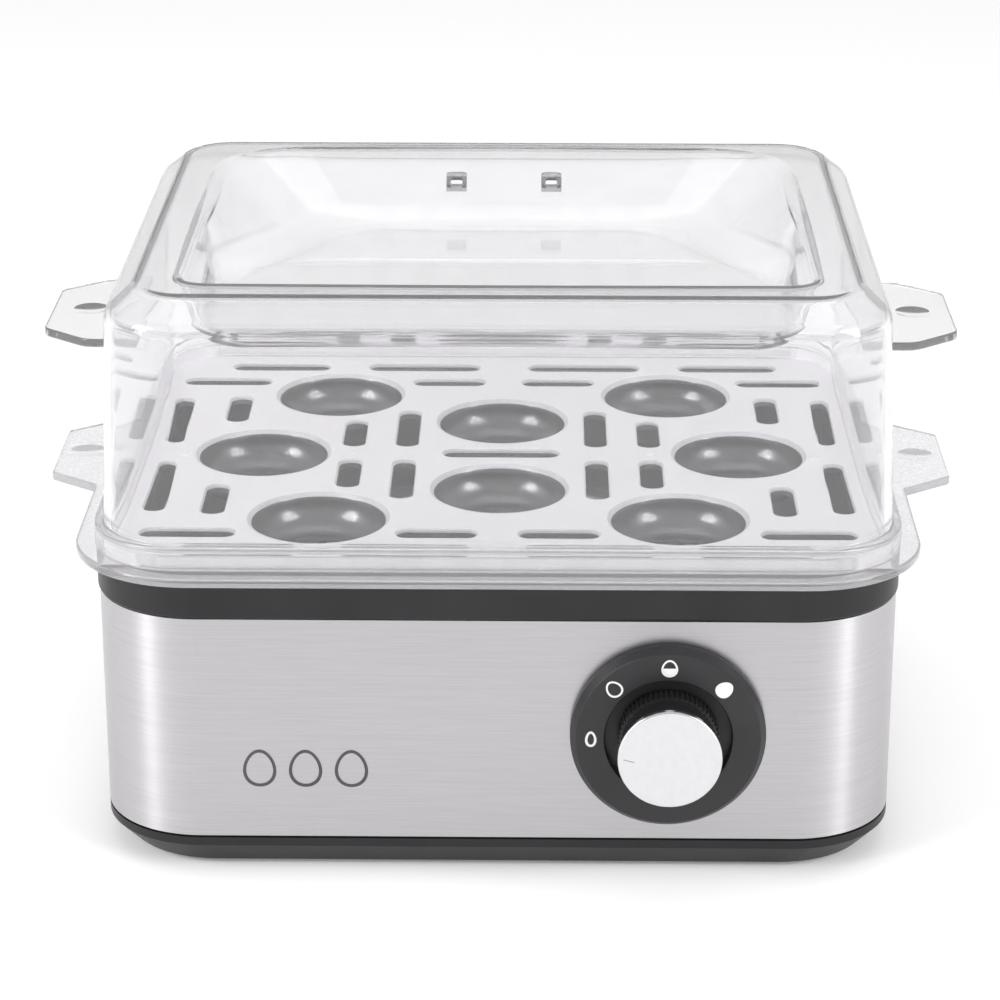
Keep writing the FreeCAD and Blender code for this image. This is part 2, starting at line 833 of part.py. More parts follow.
def make_knob():
    ribs = rod(knob_rib_diameter, knob_back - knob_rib_length, knob_back)
    grooves = []
    for k in range(knob_rib_count):
        angle = 2 * math.pi * k / knob_rib_count
        radius = knob_rib_diameter / 2
        x = dial_x + radius * math.cos(angle)
        z = dial_height + radius * math.sin(angle)
        grooves.append(rod(2 * knob_rib_depth, knob_back - knob_rib_length, knob_back, x, z))
    ribs = ribs.cut(grooves)
    barrel = rod(knob_barrel_diameter, cap_back, knob_back)
    body = ribs.fuse(barrel)
    hollow = knob_barrel_diameter - 2 * knob_wall
    shell_top = cap_back + knob_top
    body = body.cut(rod(hollow, shell_top, knob_back))
    hub_back = recess_face - bush_nut_height + 0.2
    body = body.fuse(rod(knob_hub_diameter, shell_top, hub_back - 0.6))
    body = body.cut(shaft_profile(shaft_front - loose_fit / 2, hub_back, running_fit))
    clip_slot = knob_clip_block(thread_fit)
    plug = rod(cap_plug_diameter + 2 * thread_fit, cap_back, cap_back + cap_plug_length)
    return body.cut(clip_slot).cut(plug).removeSplitter()


def shaft_profile(front, back, fit):
    """A round shaft with one flat on its upper side, grown by fit."""
    radius = shaft_diameter / 2
    whole = rod(shaft_diameter + 2 * fit, front, back)
    flat_level = dial_height + radius - shaft_flat + fit
    return whole.cut(
        block(dial_x - radius - 1, dial_x + radius + 1, front, back, flat_level, flat_level + radius + 1)
    )


def knob_clip_block(fit):
    """The flat spring that lies on the shaft's flat."""
    level = dial_height + shaft_diameter / 2 - shaft_flat + running_fit
    front = shaft_front + 1.0
    return block(dial_x - 2 - fit, dial_x + 2 + fit, front - fit, front + 6 + fit, level, level + 0.4 + fit)


def make_knob_clip():
    return knob_clip_block(0)


def make_knob_cap():
    cap = rod(cap_diameter, knob_front, cap_back)
    rims = [edge for edge in cap.Edges if abs(edge.BoundBox.YMax - knob_front) < 0.001]
    cap = cap.makeFillet(cap_edge_round, rims)
    cap = cap.fuse(rod(cap_plug_diameter, cap_back, cap_back + cap_plug_length))
    tip = V(dial_x - mark_radius - mark_length / 2, knob_front, dial_height)
    low = V(tip.x + mark_length, knob_front, dial_height - mark_width / 2)
    high = V(tip.x + mark_length, knob_front, dial_height + mark_width / 2)
    mark = Part.Face(Part.makePolygon([tip, low, high, tip])).extrude(V(0, mark_depth, 0))
    return cap.cut(mark)


# --------------------------------------------------------------------- thermostat


def make_thermostat_shaft():
    flat_end = recess_face - bush_nut_height - 0.2
    front = shaft_profile(shaft_front, flat_end, 0)
    back = rod(shaft_diameter, flat_end, cam_back)
    cam = rod(cam_diameter, cam_front, cam_back, dial_x, dial_height + cam_throw)
    shaft = front.fuse([back, cam])
    groove_front = bush_end + slip_fit
    groove = rod(shaft_diameter, groove_front, groove_front + circlip_thickness)
    groove = groove.cut(rod(shaft_diameter - 1.0, groove_front, groove_front + circlip_thickness))
    return shaft.cut(groove)


def make_shaft_circlip():
    front = bush_end + slip_fit
    ring = rod(circlip_diameter, front, front + circlip_thickness)
    ring = ring.cut(rod(shaft_diameter - 1.0 + 2 * thread_fit, front, front + circlip_thickness))
    low = dial_height - circlip_diameter
    half_gap = circlip_gap / 2
    gap = block(dial_x - half_gap, dial_x + half_gap, front, front + circlip_thickness, low, dial_height)
    return ring.cut(gap)


def make_thermostat_bush():
    sleeve = rod(bush_diameter, steel_inner_front - bush_front, bush_end)
    flange = rod(bush_flange_diameter, bracket_back, bush_flange_back)
    bore = rod(shaft_diameter + 2 * running_fit, steel_inner_front - bush_front, bush_end)
    return sleeve.fuse(flange).cut(bore)


def make_bush_nut():
    nut = hex_nut(bush_nut_flats, bush_nut_height, dial_x, steel_inner_front, dial_height, V(0, -1, 0))
    bore = rod(bush_diameter + 2 * thread_fit, steel_inner_front - bush_nut_height, steel_inner_front)
    return nut.cut(bore)


def make_thermostat_bracket():
    low = dial_height - bracket_height / 2
    high = dial_height + bracket_height / 2 - 4.0
    half = bracket_width / 2
    plate = block(dial_x - half, dial_x + half, steel_inner_front, bracket_back, low, high)
    corners = [edge for edge in plate.Edges if abs(edge.BoundBox.YLength - bracket_sheet) < 0.001]
    plate = plate.makeFillet(3.0, corners)
    plate = plate.cut(rod(bush_diameter + 2 * thread_fit, steel_inner_front, bracket_back))
    for side in (-1, 1):
        hole = bezel_screw_diameter + 2 * slip_fit
        plate = plate.cut(rod(hole, steel_inner_front, bracket_back, dial_x + side * bezel_screw_offset))
    return plate


def make_thermostat_frame():
    half = frame_width / 2
    low = dial_height - frame_below
    upright = block(
        dial_x - half, dial_x + half, bush_flange_back, frame_back, low, dial_height + frame_above
    )
    shelf_end = stack_y + stack_diameter / 2 + 1.0
    shelf = block(
        dial_x - half * 0.7, dial_x + half * 0.7, bush_flange_back, shelf_end, low, low + frame_sheet
    )
    body = upright.fuse(shelf).cut(rod(bush_diameter + 2 * thread_fit, bush_flange_back, frame_back))
    return body.cut(
        post(rivet_diameter + 2 * thread_fit, low, low + frame_sheet, dial_x, stack_y)
    ).removeSplitter()


def stack_spacer(low, high):
    return post(stack_diameter, low, high, dial_x, stack_y).cut(
        post(rivet_diameter + 2 * thread_fit, low, high, dial_x, stack_y)
    )


def make_thermostat_spacers():
    lower = stack_spacer(stack_bottom, lower_leaf_level)
    middle = stack_spacer(lower_leaf_level + leaf_sheet, upper_leaf_level)
    upper = stack_spacer(upper_leaf_level + leaf_sheet, bimetal_level)
    return Part.makeCompound([lower, middle, upper])


def contact_leaf(level, forward, side, contact_side):
    """A spring leaf: an eye in the stack, a tongue to the front, a tab to one side."""
    half = leaf_width / 2
    top = level + leaf_sheet
    leaf = post(stack_diameter - 1.0, level, top, dial_x, stack_y)
    leaf = leaf.fuse(block(dial_x - half, dial_x + half, stack_y - forward, stack_y, level, top))
    tab_low = min(0, side * tab_reach)
    tab_high = max(0, side * tab_reach)
    tab_half = tab_width / 2
    tab = block(dial_x + tab_low, dial_x + tab_high, stack_y - tab_half, stack_y + tab_half, level, top)
    height = (leaf_gap - contact_gap) / 2
    contact_y = stack_y - upper_leaf_forward + contact_diameter / 2 + 0.2
    if contact_side > 0:
        contact = post(contact_diameter, top, top + height, dial_x, contact_y)
    else:
        contact = post(contact_diameter, level - height, level, dial_x, contact_y)
    leaf = leaf.fuse([tab, contact])
    return leaf.cut(post(rivet_diameter + 2 * thread_fit, level, top, dial_x, stack_y)).removeSplitter()


def make_contact_leaves():
    lower = contact_leaf(lower_leaf_level, leaf_forward, 1, 1)
    upper = contact_leaf(upper_leaf_level, upper_leaf_forward + 2.0, -1, -1)
    return Part.makeCompound([lower, upper])


def make_bimetal_strip():
    half = bimetal_width / 2
    start = stack_y - stack_diameter / 2
    strip = block(dial_x - half, dial_x + half, start, bimetal_tip, bimetal_level, clamp_bottom)
    return strip.cut(post(rivet_diameter + 2 * thread_fit, bimetal_level, clamp_bottom, dial_x, stack_y))


def make_stack_rivet():
    low = dial_height - frame_below
    shank = post(rivet_diameter, low, clamp_bottom, dial_x, stack_y)
    foot = post(rivet_head_diameter, low - rivet_head, low, dial_x, stack_y)
    head = post(rivet_head_diameter, clamp_bottom, clamp_bottom + rivet_head, dial_x, stack_y)
    return shank.fuse([foot, head])


# ------------------------------------------- terminal block, leads, earth and gland

block_front = block_y - block_depth / 2
lead_level = pan_floor_top + block_height * 0.6


def pole_x(index):
    return block_x + (index - 1) * block_pitch


def make_terminal_block():
    half = block_length / 2
    body = block(block_x - half, block_x + half, block_front, block_front + block_depth,
                 pan_floor_top, pan_floor_top + block_height)
    uprights = [edge for edge in body.Edges if abs(edge.BoundBox.ZLength - block_height) < 0.001]
    body = body.makeFillet(1.5, uprights)
    top = pan_floor_top + block_height
    for index in range(3):
        hole = block_screw_diameter + 2 * thread_fit
        body = body.cut(post(hole, top - block_screw_height - 1.0, top, pole_x(index), block_y))
    for index in range(2):
        x = (pole_x(index) + pole_x(index + 1)) / 2
        body = body.cut(block(x - 0.6, x + 0.6, block_front, block_front + block_depth, top - 4.0, top))
    return body


def make_terminal_screws():
    top = pan_floor_top + block_height
    screws = []
    for index in range(3):
        x = pole_x(index)
        screw = post(block_screw_diameter, top - block_screw_height - 1.0, top - 1.0, x, block_y)
        slot = block(x - 2, x + 2, block_y - 0.35, block_y + 0.35, top - 1.9, top - 1.0)
        screws.append(screw.cut(slot))
    return Part.makeCompound(screws)


def make_lead_live():
    tab_x = dial_x + tab_reach - lead_diameter
    return lead([
        V(pole_x(2), block_front, lead_level),
        V(pole_x(2), block_front - 40, lead_level),
        V(tab_x + 4, stack_y, lead_level),
        V(tab_x, stack_y, lower_leaf_level - 12),
        V(tab_x, stack_y, lower_leaf_level),
    ])


def make_lead_heater():
    tab_x = dial_x - tab_reach + lead_diameter
    turn_y = -element_leg_end - pin_length - 18
    return lead([
        V(tab_x, stack_y, upper_leaf_level),
        V(tab_x, stack_y, upper_leaf_level - 12),
        V(element_leg_x, turn_y, upper_leaf_level - 9),
        V(element_leg_x, turn_y, element_level),
        V(element_leg_x, -element_leg_end - pin_length, element_level),
    ])


def make_lead_neutral():
    rise_y = fuse_back + 9.0
    return lead([
        V(pole_x(1), block_front, lead_level),
        V(pole_x(1), rise_y, lead_level),
        V(0, rise_y, lead_level),
        V(0, rise_y, fuse_level),
        V(0, fuse_back, fuse_level),
    ])


def make_lead_fuse():
    turn_y = -element_leg_end - pin_length - 16
    return lead([
        V(0, fuse_front, fuse_level),
        V(0, turn_y, fuse_level),
        V(-element_leg_x, turn_y, element_level),
        V(-element_leg_x, -element_leg_end - pin_length, element_level),
    ])


def make_lead_earth():
    rise_x = earth_x - earth_tag_reach
    return lead([
        V(pole_x(0), block_front, lead_level),
        V(pole_x(0), block_front - 12, lead_level),
        V(rise_x, earth_y, lead_level),
        V(rise_x, earth_y, clamp_bottom - earth_tag_sheet),
    ])


def make_earth_tag():
    top = clamp_bottom
    low = top - earth_tag_sheet
    tag = post(earth_tag_width, low, top, earth_x, earth_y)
    half = lead_diameter / 2 + 0.5
    end = earth_x - earth_tag_reach - half
    tag = tag.fuse(block(end, earth_x, earth_y - half, earth_y + half, low, top))
    return tag.cut(post(earth_screw_diameter + 2 * slip_fit, low, top, earth_x, earth_y)).removeSplitter()


def make_earth_screw():
    seat = clamp_bottom - earth_tag_sheet
    shank = post(earth_screw_diameter, seat, tub_floor_bottom, earth_x, earth_y)
    head = post(earth_screw_head, seat - earth_screw_head_height, seat, earth_x, earth_y)
    return shank.fuse(head)


def make_cord_gland():
    inner_face = rear_face - steel_wall
    neck = rod(gland_neck_diameter, inner_face, rear_face, gland_x, gland_height)
    outer = rod(gland_flange_diameter, rear_face, rear_face + gland_flange, gland_x, gland_height)
    inner = rod(gland_flange_diameter, inner_face - gland_flange, inner_face, gland_x, gland_height)
    body = neck.fuse([outer, inner])
    bore = rod(gland_bore, inner_face - gland_flange, rear_face + gland_flange, gland_x, gland_height)
    body = body.cut(bore).removeSplitter()
    back = rear_face + gland_flange
    rear_edges = [edge for edge in body.Edges if abs(edge.BoundBox.YMin - back) < 0.001]
    rims = [edge for edge in rear_edges if edge.BoundBox.XLength > gland_bore + 1]
    return body.makeFillet(0.8, rims)


# ----------------------------------------------------------------------- egg tray


def slot_cutter(x, y, length, along_y):
    """A round-ended slot through the deck, a little wider at its upper edge."""
    low = collar_top - 0.001
    half_long = length / 2
    half = slot_width / 2
    sizes = (half, half_long) if along_y else (half_long, half)
    corner = half - 0.01
    body = slab(*sizes, corner, low, deck_top)
    wide = sizes[0] + slot_edge, sizes[1] + slot_edge, corner + slot_edge, deck_top
    narrow = *sizes, corner, deck_top - slot_edge
    body = body.fuse(taper(narrow, wide))
    body.translate(V(x, y, 0))
    return body


def tray_slots():
    row_y = opening_half_y - row_inset
    front_row_y = opening_half_y - front_row_inset
    spans = [
        (row_y, row_inner_start, row_inner_end),
        (row_y, row_outer_start, row_outer_end),
        (front_row_y, front_inner_start, front_inner_end),
        (front_row_y, front_outer_start, front_outer_end),
    ]
    upright = [
        (long_slot_x, long_slot_y, long_slot),
        (short_slot_x, short_slot_y, short_slot),
        (corner_slot_x, corner_slot_y, corner_slot),
        (opening_half_x - edge_slot_inset, edge_slot_y, edge_slot),
    ]
    slots = [slot_cutter(0, 0, centre_slot, False)]
    for y, start, end in spans:
        for x_place, y_place in quarters((start + end) / 2, y):
            slots.append(slot_cutter(x_place, y_place, end - start, False))
    for x, y, length in upright:
        for x_place, y_place in quarters(x, y):
            slots.append(slot_cutter(x_place, y_place, length, True))
    return slots


cup_places = [(0, cup_middle_y), (0, -cup_middle_y), (cup_side_x, 0), (-cup_side_x, 0)]
cup_places += quarters(cup_corner_x, cup_corner_y)


def cup_profile(grow, top):
    """The half section of a cup's inside (grow 0) or outside (grow = wall)."""
    mouth = cup_diameter / 2 + grow
    hole = cup_hole_diameter / 2
    bottom = deck_top - cup_depth - grow
    start = V(mouth, 0, top)
    lip = V(mouth, 0, deck_top - cup_edge_round)
    end = V(hole, 0, bottom)
    belly = V(hole + (mouth - hole) * 0.78, 0, bottom + (lip.z - bottom) * 0.36)
    edges = [
        Part.LineSegment(start, lip).toShape(),
        Part.Arc(lip, belly, end).toShape(),
        Part.LineSegment(end, V(0, 0, bottom)).toShape(),
        Part.LineSegment(V(0, 0, bottom), V(0, 0, top)).toShape(),
        Part.LineSegment(V(0, 0, top), start).toShape(),
    ]
    return Part.Face(Part.Wire(edges)).revolve(V(0, 0, 0), V(0, 0, 1), 360)


def cup_mouth_round():
    """The solid that rounds a cup's upper edge when it is cut away."""
    mouth = cup_diameter / 2
    edge = cup_edge_round
    centre_x = mouth + edge
    low = deck_top - edge
    middle = V(centre_x - edge * math.sqrt(0.5), 0, low + edge * math.sqrt(0.5))
    edges = [
        Part.Arc(V(mouth, 0, low), middle, V(centre_x, 0, deck_top)).toShape(),
        Part.LineSegment(V(centre_x, 0, deck_top), V(centre_x, 0, deck_top + 1)).toShape(),
        Part.LineSegment(V(centre_x, 0, deck_top + 1), V(mouth - 1, 0, deck_top + 1)).toShape(),
        Part.LineSegment(V(mouth - 1, 0, deck_top + 1), V(mouth - 1, 0, low)).toShape(),
        Part.LineSegment(V(mouth - 1, 0, low), V(mouth, 0, low)).toShape(),
    ]
    return Part.Face(Part.Wire(edges)).revolve(V(0, 0, 0), V(0, 0, 1), 360)


def placed(shape, x, y):
    copy = shape.copy()
    copy.translate(V(x, y, 0))
    return copy


def side_tab(side, root_x, straight_x, end_x, root_half, tip_half, low, high):
    """A lifting tab: straight from the wall, then narrower towards its end."""
    points = [
        V(side * root_x, -root_half, low),
        V(side * straight_x, -root_half, low),
        V(side * end_x, -tip_half, low),
        V(side * end_x, tip_half, low),
        V(side * straight_x, root_half, low),
        V(side * root_x, root_half, low),
    ]
    corner = tab_corner_round
    rounds = [0.4, corner, corner, corner, corner, 0.4]
    tab = Part.Face(outline(points, rounds)).extrude(V(0, 0, high - low))
    ends = [edge for edge in level_edges(tab, high) + level_edges(tab, low)
            if side * edge.CenterOfMass.x > root_x + 1.0]
    return tab.makeFillet(0.6, ends)


def dimple(x, top):
    """A shallow round hollow in a tab's upper face."""
    radius = (dimple_diameter ** 2 / 4 + dimple_depth ** 2) / (2 * dimple_depth)
    ball = Part.makeSphere(radius, V(x, 0, top - dimple_depth + radius))
    return ball.common(post(dimple_diameter + 1.0, top - 2 * dimple_depth, top, x, 0))


def make_egg_tray():
    plate = slab(flange_half_x, flange_half_y, flange_corner, collar_top, deck_top)
    plate = plate.makeFillet(
        flange_edge_round, level_edges(plate, deck_top) + level_edges(plate, collar_top)
    )
    for side in (-1, 1):
        tab = side_tab(side, flange_half_x - 4.0, flange_half_x, tab_end_x, tray_tab_root, tray_tab_tip,
                       collar_top, deck_top)
        plate = plate.fuse(tab).cut(dimple(side * (tab_end_x - tray_dimple_inset), deck_top))
    rib_half_x = lip_half_x - lid_wall - loose_fit
    rib_half_y = lip_half_y - lid_wall - loose_fit
    rib_corner = lip_corner - lid_wall - loose_fit
    rib_top = deck_top + lid_rib_height
    wall = lid_rib_wall
    rib = slab(rib_half_x, rib_half_y, rib_corner, deck_top - 0.5, rib_top)
    rib = rib.cut(slab(rib_half_x - wall, rib_half_y - wall, rib_corner - wall, deck_top - 0.5, rib_top))
    skirt_half_x = opening_half_x - loose_fit
    skirt_half_y = opening_half_y - loose_fit
    skirt_corner = opening_corner - loose_fit
    skirt_bottom = collar_top - tray_skirt_height
    wall = tray_skirt_wall
    skirt = slab(skirt_half_x, skirt_half_y, skirt_corner, skirt_bottom, collar_top + 0.5)
    skirt = skirt.cut(
        slab(skirt_half_x - wall, skirt_half_y - wall, skirt_corner - wall, skirt_bottom, collar_top + 0.5)
    )
    cup_outside = cup_profile(cup_wall, collar_top + 0.5)
    plate = plate.fuse([rib, skirt] + [placed(cup_outside, x, y) for x, y in cup_places])
    plate = plate.cut(tray_slots())
    cup_inside = cup_profile(0, deck_top)
    hole = post(cup_hole_diameter, deck_top - cup_depth - cup_wall - 1, deck_top)
    mouth = cup_mouth_round()
    cutters = [placed(shape, x, y) for x, y in cup_places for shape in (cup_inside, hole, mouth)]
    plate = plate.cut(cutters)
    for side in (-1, 1):
        dot = post(dot_diameter, deck_top - 0.5, deck_top + dot_height, side * short_slot_x, 0)
        pad_x = side * (cup_side_x + cup_mouth + pad_length / 2 + 0.3)
        pad = block(pad_x - pad_length / 2, pad_x + pad_length / 2, -pad_width / 2, pad_width / 2,
                    deck_top - 0.5, deck_top + pad_height)
        plate = plate.fuse([dot, pad])
    return plate.removeSplitter()


# ---------------------------------------------------------------------------- lid


def recess_floor_wire(grow, level):
    """The sunk floor's outline: wide along the front, pointed sides, a narrower back, all rounded."""
    side = recess_half_x - recess_side_inset + grow
    back = recess_back_y - recess_back_inset + grow
    front = recess_half_y - recess_front_inset + grow
    back_half = recess_back_half + grow * 0.5
    front_half = recess_front_half + grow
    points = [V(side, 0, level), V(back_half, back, level), V(-back_half, back, level),
              V(-side, 0, level), V(-front_half, -front, level), V(front_half, -front, level)]
    nose = recess_nose_round + grow
    corner = recess_corner_round + grow
    front_corner = recess_front_round + grow
    return outline(points, [nose, corner, corner, nose, front_corner, front_corner])


def recess_mouth_wire(grow, level):
    """The recess's upper outline, with each corner in two halves to meet the floor's outline."""
    edges = []

    def at(side, end, degrees):
        corner = (recess_mouth_back_round if end > 0 else recess_mouth_front_round) + grow
        half_y = (recess_back_y if end > 0 else recess_half_y) + grow
        angle = math.radians(degrees)
        centre_x = side * (recess_half_x + grow - corner)
        centre_y = end * (half_y - corner)
        return V(centre_x + corner * math.cos(angle), centre_y + corner * math.sin(angle), level)

    start = at(1, -1, 360)
    for side, end, turn in ((1, 1, 0), (-1, 1, 90), (-1, -1, 180), (1, -1, 270)):
        edges.append(Part.LineSegment(start, at(side, end, turn)).toShape())
        for half in (turn, turn + 45):
            arc = Part.Arc(at(side, end, half), at(side, end, half + 22.5), at(side, end, half + 45))
            edges.append(arc.toShape())
        start = at(side, end, turn + 90)
    return Part.Wire(edges)


def make_lid():
    lip = slab(lip_half_x, lip_half_y, lip_corner, deck_top, lip_top)
    lip = lip.makeFillet(lip_edge_round, level_edges(lip, lip_top))
    wall = taper(
        (wall_half_x, wall_half_y, wall_corner, lip_top - 2.0),
        (shoulder_half_x, shoulder_half_y, shoulder_corner, shoulder_level),
    )
    crown = taper(
        (shoulder_half_x, shoulder_half_y, shoulder_corner, shoulder_level),
        (rim_half_x, rim_half_y, rim_corner, lid_top),
    )
    upper = wall.fuse(crown)
    upper = upper.makeFillet(shoulder_round, level_edges(upper, shoulder_level))
    upper = upper.makeFillet(rim_round, level_edges(upper, lid_top))
    body = lip.fuse(upper)

    slope = math.hypot(shoulder_inset, shoulder_drop)
    inner_shoulder = shoulder_level - lid_wall * (slope - shoulder_drop) / shoulder_inset
    inner_rim = lid_wall * (slope - shoulder_inset) / shoulder_drop
    ceiling = lid_top - lid_wall
    foot = wall_half_x - lid_wall, wall_half_y - lid_wall, wall_corner - lid_wall, deck_top - 1.0
    bend = shoulder_half_x - lid_wall, shoulder_half_y - lid_wall, shoulder_corner - lid_wall, inner_shoulder
    roof = rim_half_x - inner_rim, rim_half_y - inner_rim, rim_corner - inner_rim, ceiling
    body = body.cut([taper(foot, bend), taper(bend, roof)])
    step = slab(
        lip_half_x - lid_wall, lip_half_y - lid_wall, lip_corner - lid_wall, deck_top, lip_top - lip_ceiling
    )
    body = body.cut(step)

    floor_under = recess_level - lid_wall
    recess_outside = Part.makeLoft(
        [recess_floor_wire(lid_wall, floor_under), recess_mouth_wire(lid_wall, lid_top)], True, True
    )
    recess_inside = Part.makeLoft(
        [recess_floor_wire(0, recess_level), recess_mouth_wire(0, lid_top)], True, True
    )
    body = body.fuse(recess_outside).cut(recess_inside)

    for side in (-1, 1):
        top = lid_top - lid_tab_below_top
        root_x = shoulder_half_x - 0.9
        straight_x = shoulder_half_x + lid_tab_straight
        tab = side_tab(side, root_x, straight_x, tab_end_x, lid_tab_root, lid_tab_tip,
                       top - lid_tab_thickness, top)
        body = body.fuse(tab).cut(dimple(side * (tab_end_x - lid_dimple_inset), top))

    vent_low = lid_top - vent_hole_drop - vent_hole_height / 2
    vent_front = recess_back_y - vent_hole_reach
    for side in (-1, 1):
        corner = V(side * vent_hole_x - vent_hole_width / 2, vent_front, vent_low)
        vent = Part.makeBox(vent_hole_width, vent_hole_reach, vent_hole_height, corner)
        upright = [edge for edge in vent.Edges if abs(edge.BoundBox.YLength - vent_hole_reach) < 0.001]
        body = body.cut(vent.makeFillet(vent_hole_corner, upright))
    return body.removeSplitter()


# ---------------------------------------------------------------------- all nodes

makers = {
    "base_pan": make_base_pan,
    "rubber_feet": make_rubber_feet,
    "housing_screws": make_housing_screws,
    "steel_shell": make_steel_shell,
    "upper_housing": make_upper_housing,
    "heating_plate": make_heating_plate,
    "plate_gasket": make_plate_gasket,
    "diffuser_plate": make_diffuser_plate,
    "heating_element": make_heating_element,
    "element_pins": make_element_pins,
    "element_beads": make_element_beads,
    "clamp_ring": make_clamp_ring,
    "clamp_nuts": make_clamp_nuts,
    "thermal_fuse": make_thermal_fuse,
    "fuse_sleeve": make_fuse_sleeve,
    "fuse_clip": make_fuse_clip,
    "fuse_screw": make_fuse_screw,
    "dial_bezel": make_dial_bezel,
    "bracket_screws": make_bracket_screws,
    "thermostat_bracket": make_thermostat_bracket,
    "thermostat_frame": make_thermostat_frame,
    "thermostat_bush": make_thermostat_bush,
    "bush_nut": make_bush_nut,
    "thermostat_spacers": make_thermostat_spacers,
    "contact_leaves": make_contact_leaves,
    "bimetal_strip": make_bimetal_strip,
    "stack_rivet": make_stack_rivet,
    "terminal_block": make_terminal_block,
    "terminal_screws": make_terminal_screws,
    "lead_live": make_lead_live,
    "lead_heater": make_lead_heater,
    "lead_neutral": make_lead_neutral,
    "lead_fuse": make_lead_fuse,
    "lead_earth": make_lead_earth,
    "earth_tag": make_earth_tag,
    "earth_screw": make_earth_screw,
    "cord_gland": make_cord_gland,
    "thermostat_shaft": make_thermostat_shaft,
    "shaft_circlip": make_shaft_circlip,
    "knob": make_knob,
    "knob_clip": make_knob_clip,
    "knob_cap": make_knob_cap,
    "egg_tray": make_egg_tray,
    "lid": make_lid,
}

os.makedirs("parts", exist_ok=True)
for name, make in makers.items():
    shape = make()
    shape.translate(frame_shift)
    shape.exportStep(os.path.join("parts", name + ".step"))
    box = shape.BoundBox
    print(name, len(shape.Solids), "valid" if shape.isValid() else "INVALID",
          round(box.XLength, 1), round(box.YLength, 1), round(box.ZLength, 1))
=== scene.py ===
import bpy
import bmesh
import json
import math
from mathutils import Matrix, Vector


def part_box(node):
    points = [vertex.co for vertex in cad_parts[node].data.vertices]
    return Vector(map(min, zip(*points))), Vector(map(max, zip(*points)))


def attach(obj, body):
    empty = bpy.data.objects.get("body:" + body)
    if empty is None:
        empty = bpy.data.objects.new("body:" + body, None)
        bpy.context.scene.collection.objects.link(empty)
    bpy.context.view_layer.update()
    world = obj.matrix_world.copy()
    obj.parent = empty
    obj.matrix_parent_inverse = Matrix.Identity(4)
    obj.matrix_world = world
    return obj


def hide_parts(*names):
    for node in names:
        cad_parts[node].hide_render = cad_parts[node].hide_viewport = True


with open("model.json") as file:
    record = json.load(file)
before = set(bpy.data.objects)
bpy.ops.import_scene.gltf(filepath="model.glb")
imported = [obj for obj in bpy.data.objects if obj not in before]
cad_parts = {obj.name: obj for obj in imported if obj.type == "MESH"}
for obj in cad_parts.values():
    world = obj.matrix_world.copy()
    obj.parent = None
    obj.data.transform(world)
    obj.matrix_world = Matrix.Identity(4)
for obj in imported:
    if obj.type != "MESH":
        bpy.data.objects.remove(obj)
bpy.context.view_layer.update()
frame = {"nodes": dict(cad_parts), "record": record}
MM = 0.001

# ------------------------------------------------ sizes of the clear lid, in mm

LID_WALL = 2.0
LIP_HALF_X = 114.0
LIP_HEIGHT = 7.0
LIP_OUT = 2.7
SHOULDER_IN = 5.2
SHOULDER_DROP = 7.0
RIM_IN = 13.7
RECESS_DEPTH = 19.5
MOUTH_BACK = 74.9
BASIN_BACK = 57.5
TAB_DROP = 30.0
TAB_THICKNESS = 2.6
DIMPLE_WIDTH = 11.0
DIMPLE_DEPTH = 0.8
DIMPLE_FROM_END = 11.4
VENT_SIDE = 15.0
VENT_DROP = 9.4
VENT_COLLAR_HALF = (3.1, 1.9)
VENT_COLLAR_SPAN = (1.2, 4.5)
VENT_HOLE_HALF = (1.9, 1.0)
VENT_HOLE_SPAN = (-6.0, 9.0)
RING_STEPS = 360

# ------------------------------------------------------------ camera and stage

CAMERA_PLACE = (0.0124, -0.9041, 0.427)
CAMERA_TURNS = (69.0, 0.0, 0.8)
CAMERA_LENS = 114.7
LIGHT_TARGET = (0.0, 0.0, 0.08)
LIGHTS = [
    ("overhead", (0.0, 0.35, 1.7), (1.4, 1.0), 4.0),
    ("key_left", (-1.4, -0.8, 0.95), (0.75, 0.75), 14.0),
    ("fill_right", (1.3, -0.85, 0.95), (0.75, 0.75), 11.0),
    ("strip_left", (-1.2, -0.75, 0.28), (0.3, 0.45), 3.0),
    ("strip_right", (1.2, -0.75, 0.28), (0.3, 0.45), 3.0),
]
HORIZON_COLOUR = (0.66, 0.66, 0.67, 1.0)
WHITE = (1.0, 1.0, 1.0, 1.0)
WHITE_FROM_HEIGHT = 0.6
WORLD_STRENGTH = 0.70
FLOOR_HALF = 12.0


def make_camera():
    """The camera: in front of the dial side, looking down on the deck through the lid."""
    data = bpy.data.cameras.new("camera")
    data.lens = CAMERA_LENS
    data.sensor_width = 36.0
    data.clip_start = 0.05
    data.clip_end = 50.0
    camera = bpy.data.objects.new("camera", data)
    bpy.context.scene.collection.objects.link(camera)
    camera.location = CAMERA_PLACE
    camera.rotation_euler = [math.radians(turn) for turn in CAMERA_TURNS]
    bpy.context.scene.camera = camera


def area_light(name, place, size, power):
    """A rectangular soft box that faces the middle of the object."""
    data = bpy.data.lights.new(name, "AREA")
    data.shape = "RECTANGLE"
    data.size, data.size_y = size
    data.energy = power
    light = bpy.data.objects.new(name, data)
    light.location = place
    aim = Vector(LIGHT_TARGET) - Vector(place)
    light.rotation_euler = aim.to_track_quat("-Z", "Y").to_euler()
    bpy.context.scene.collection.objects.link(light)


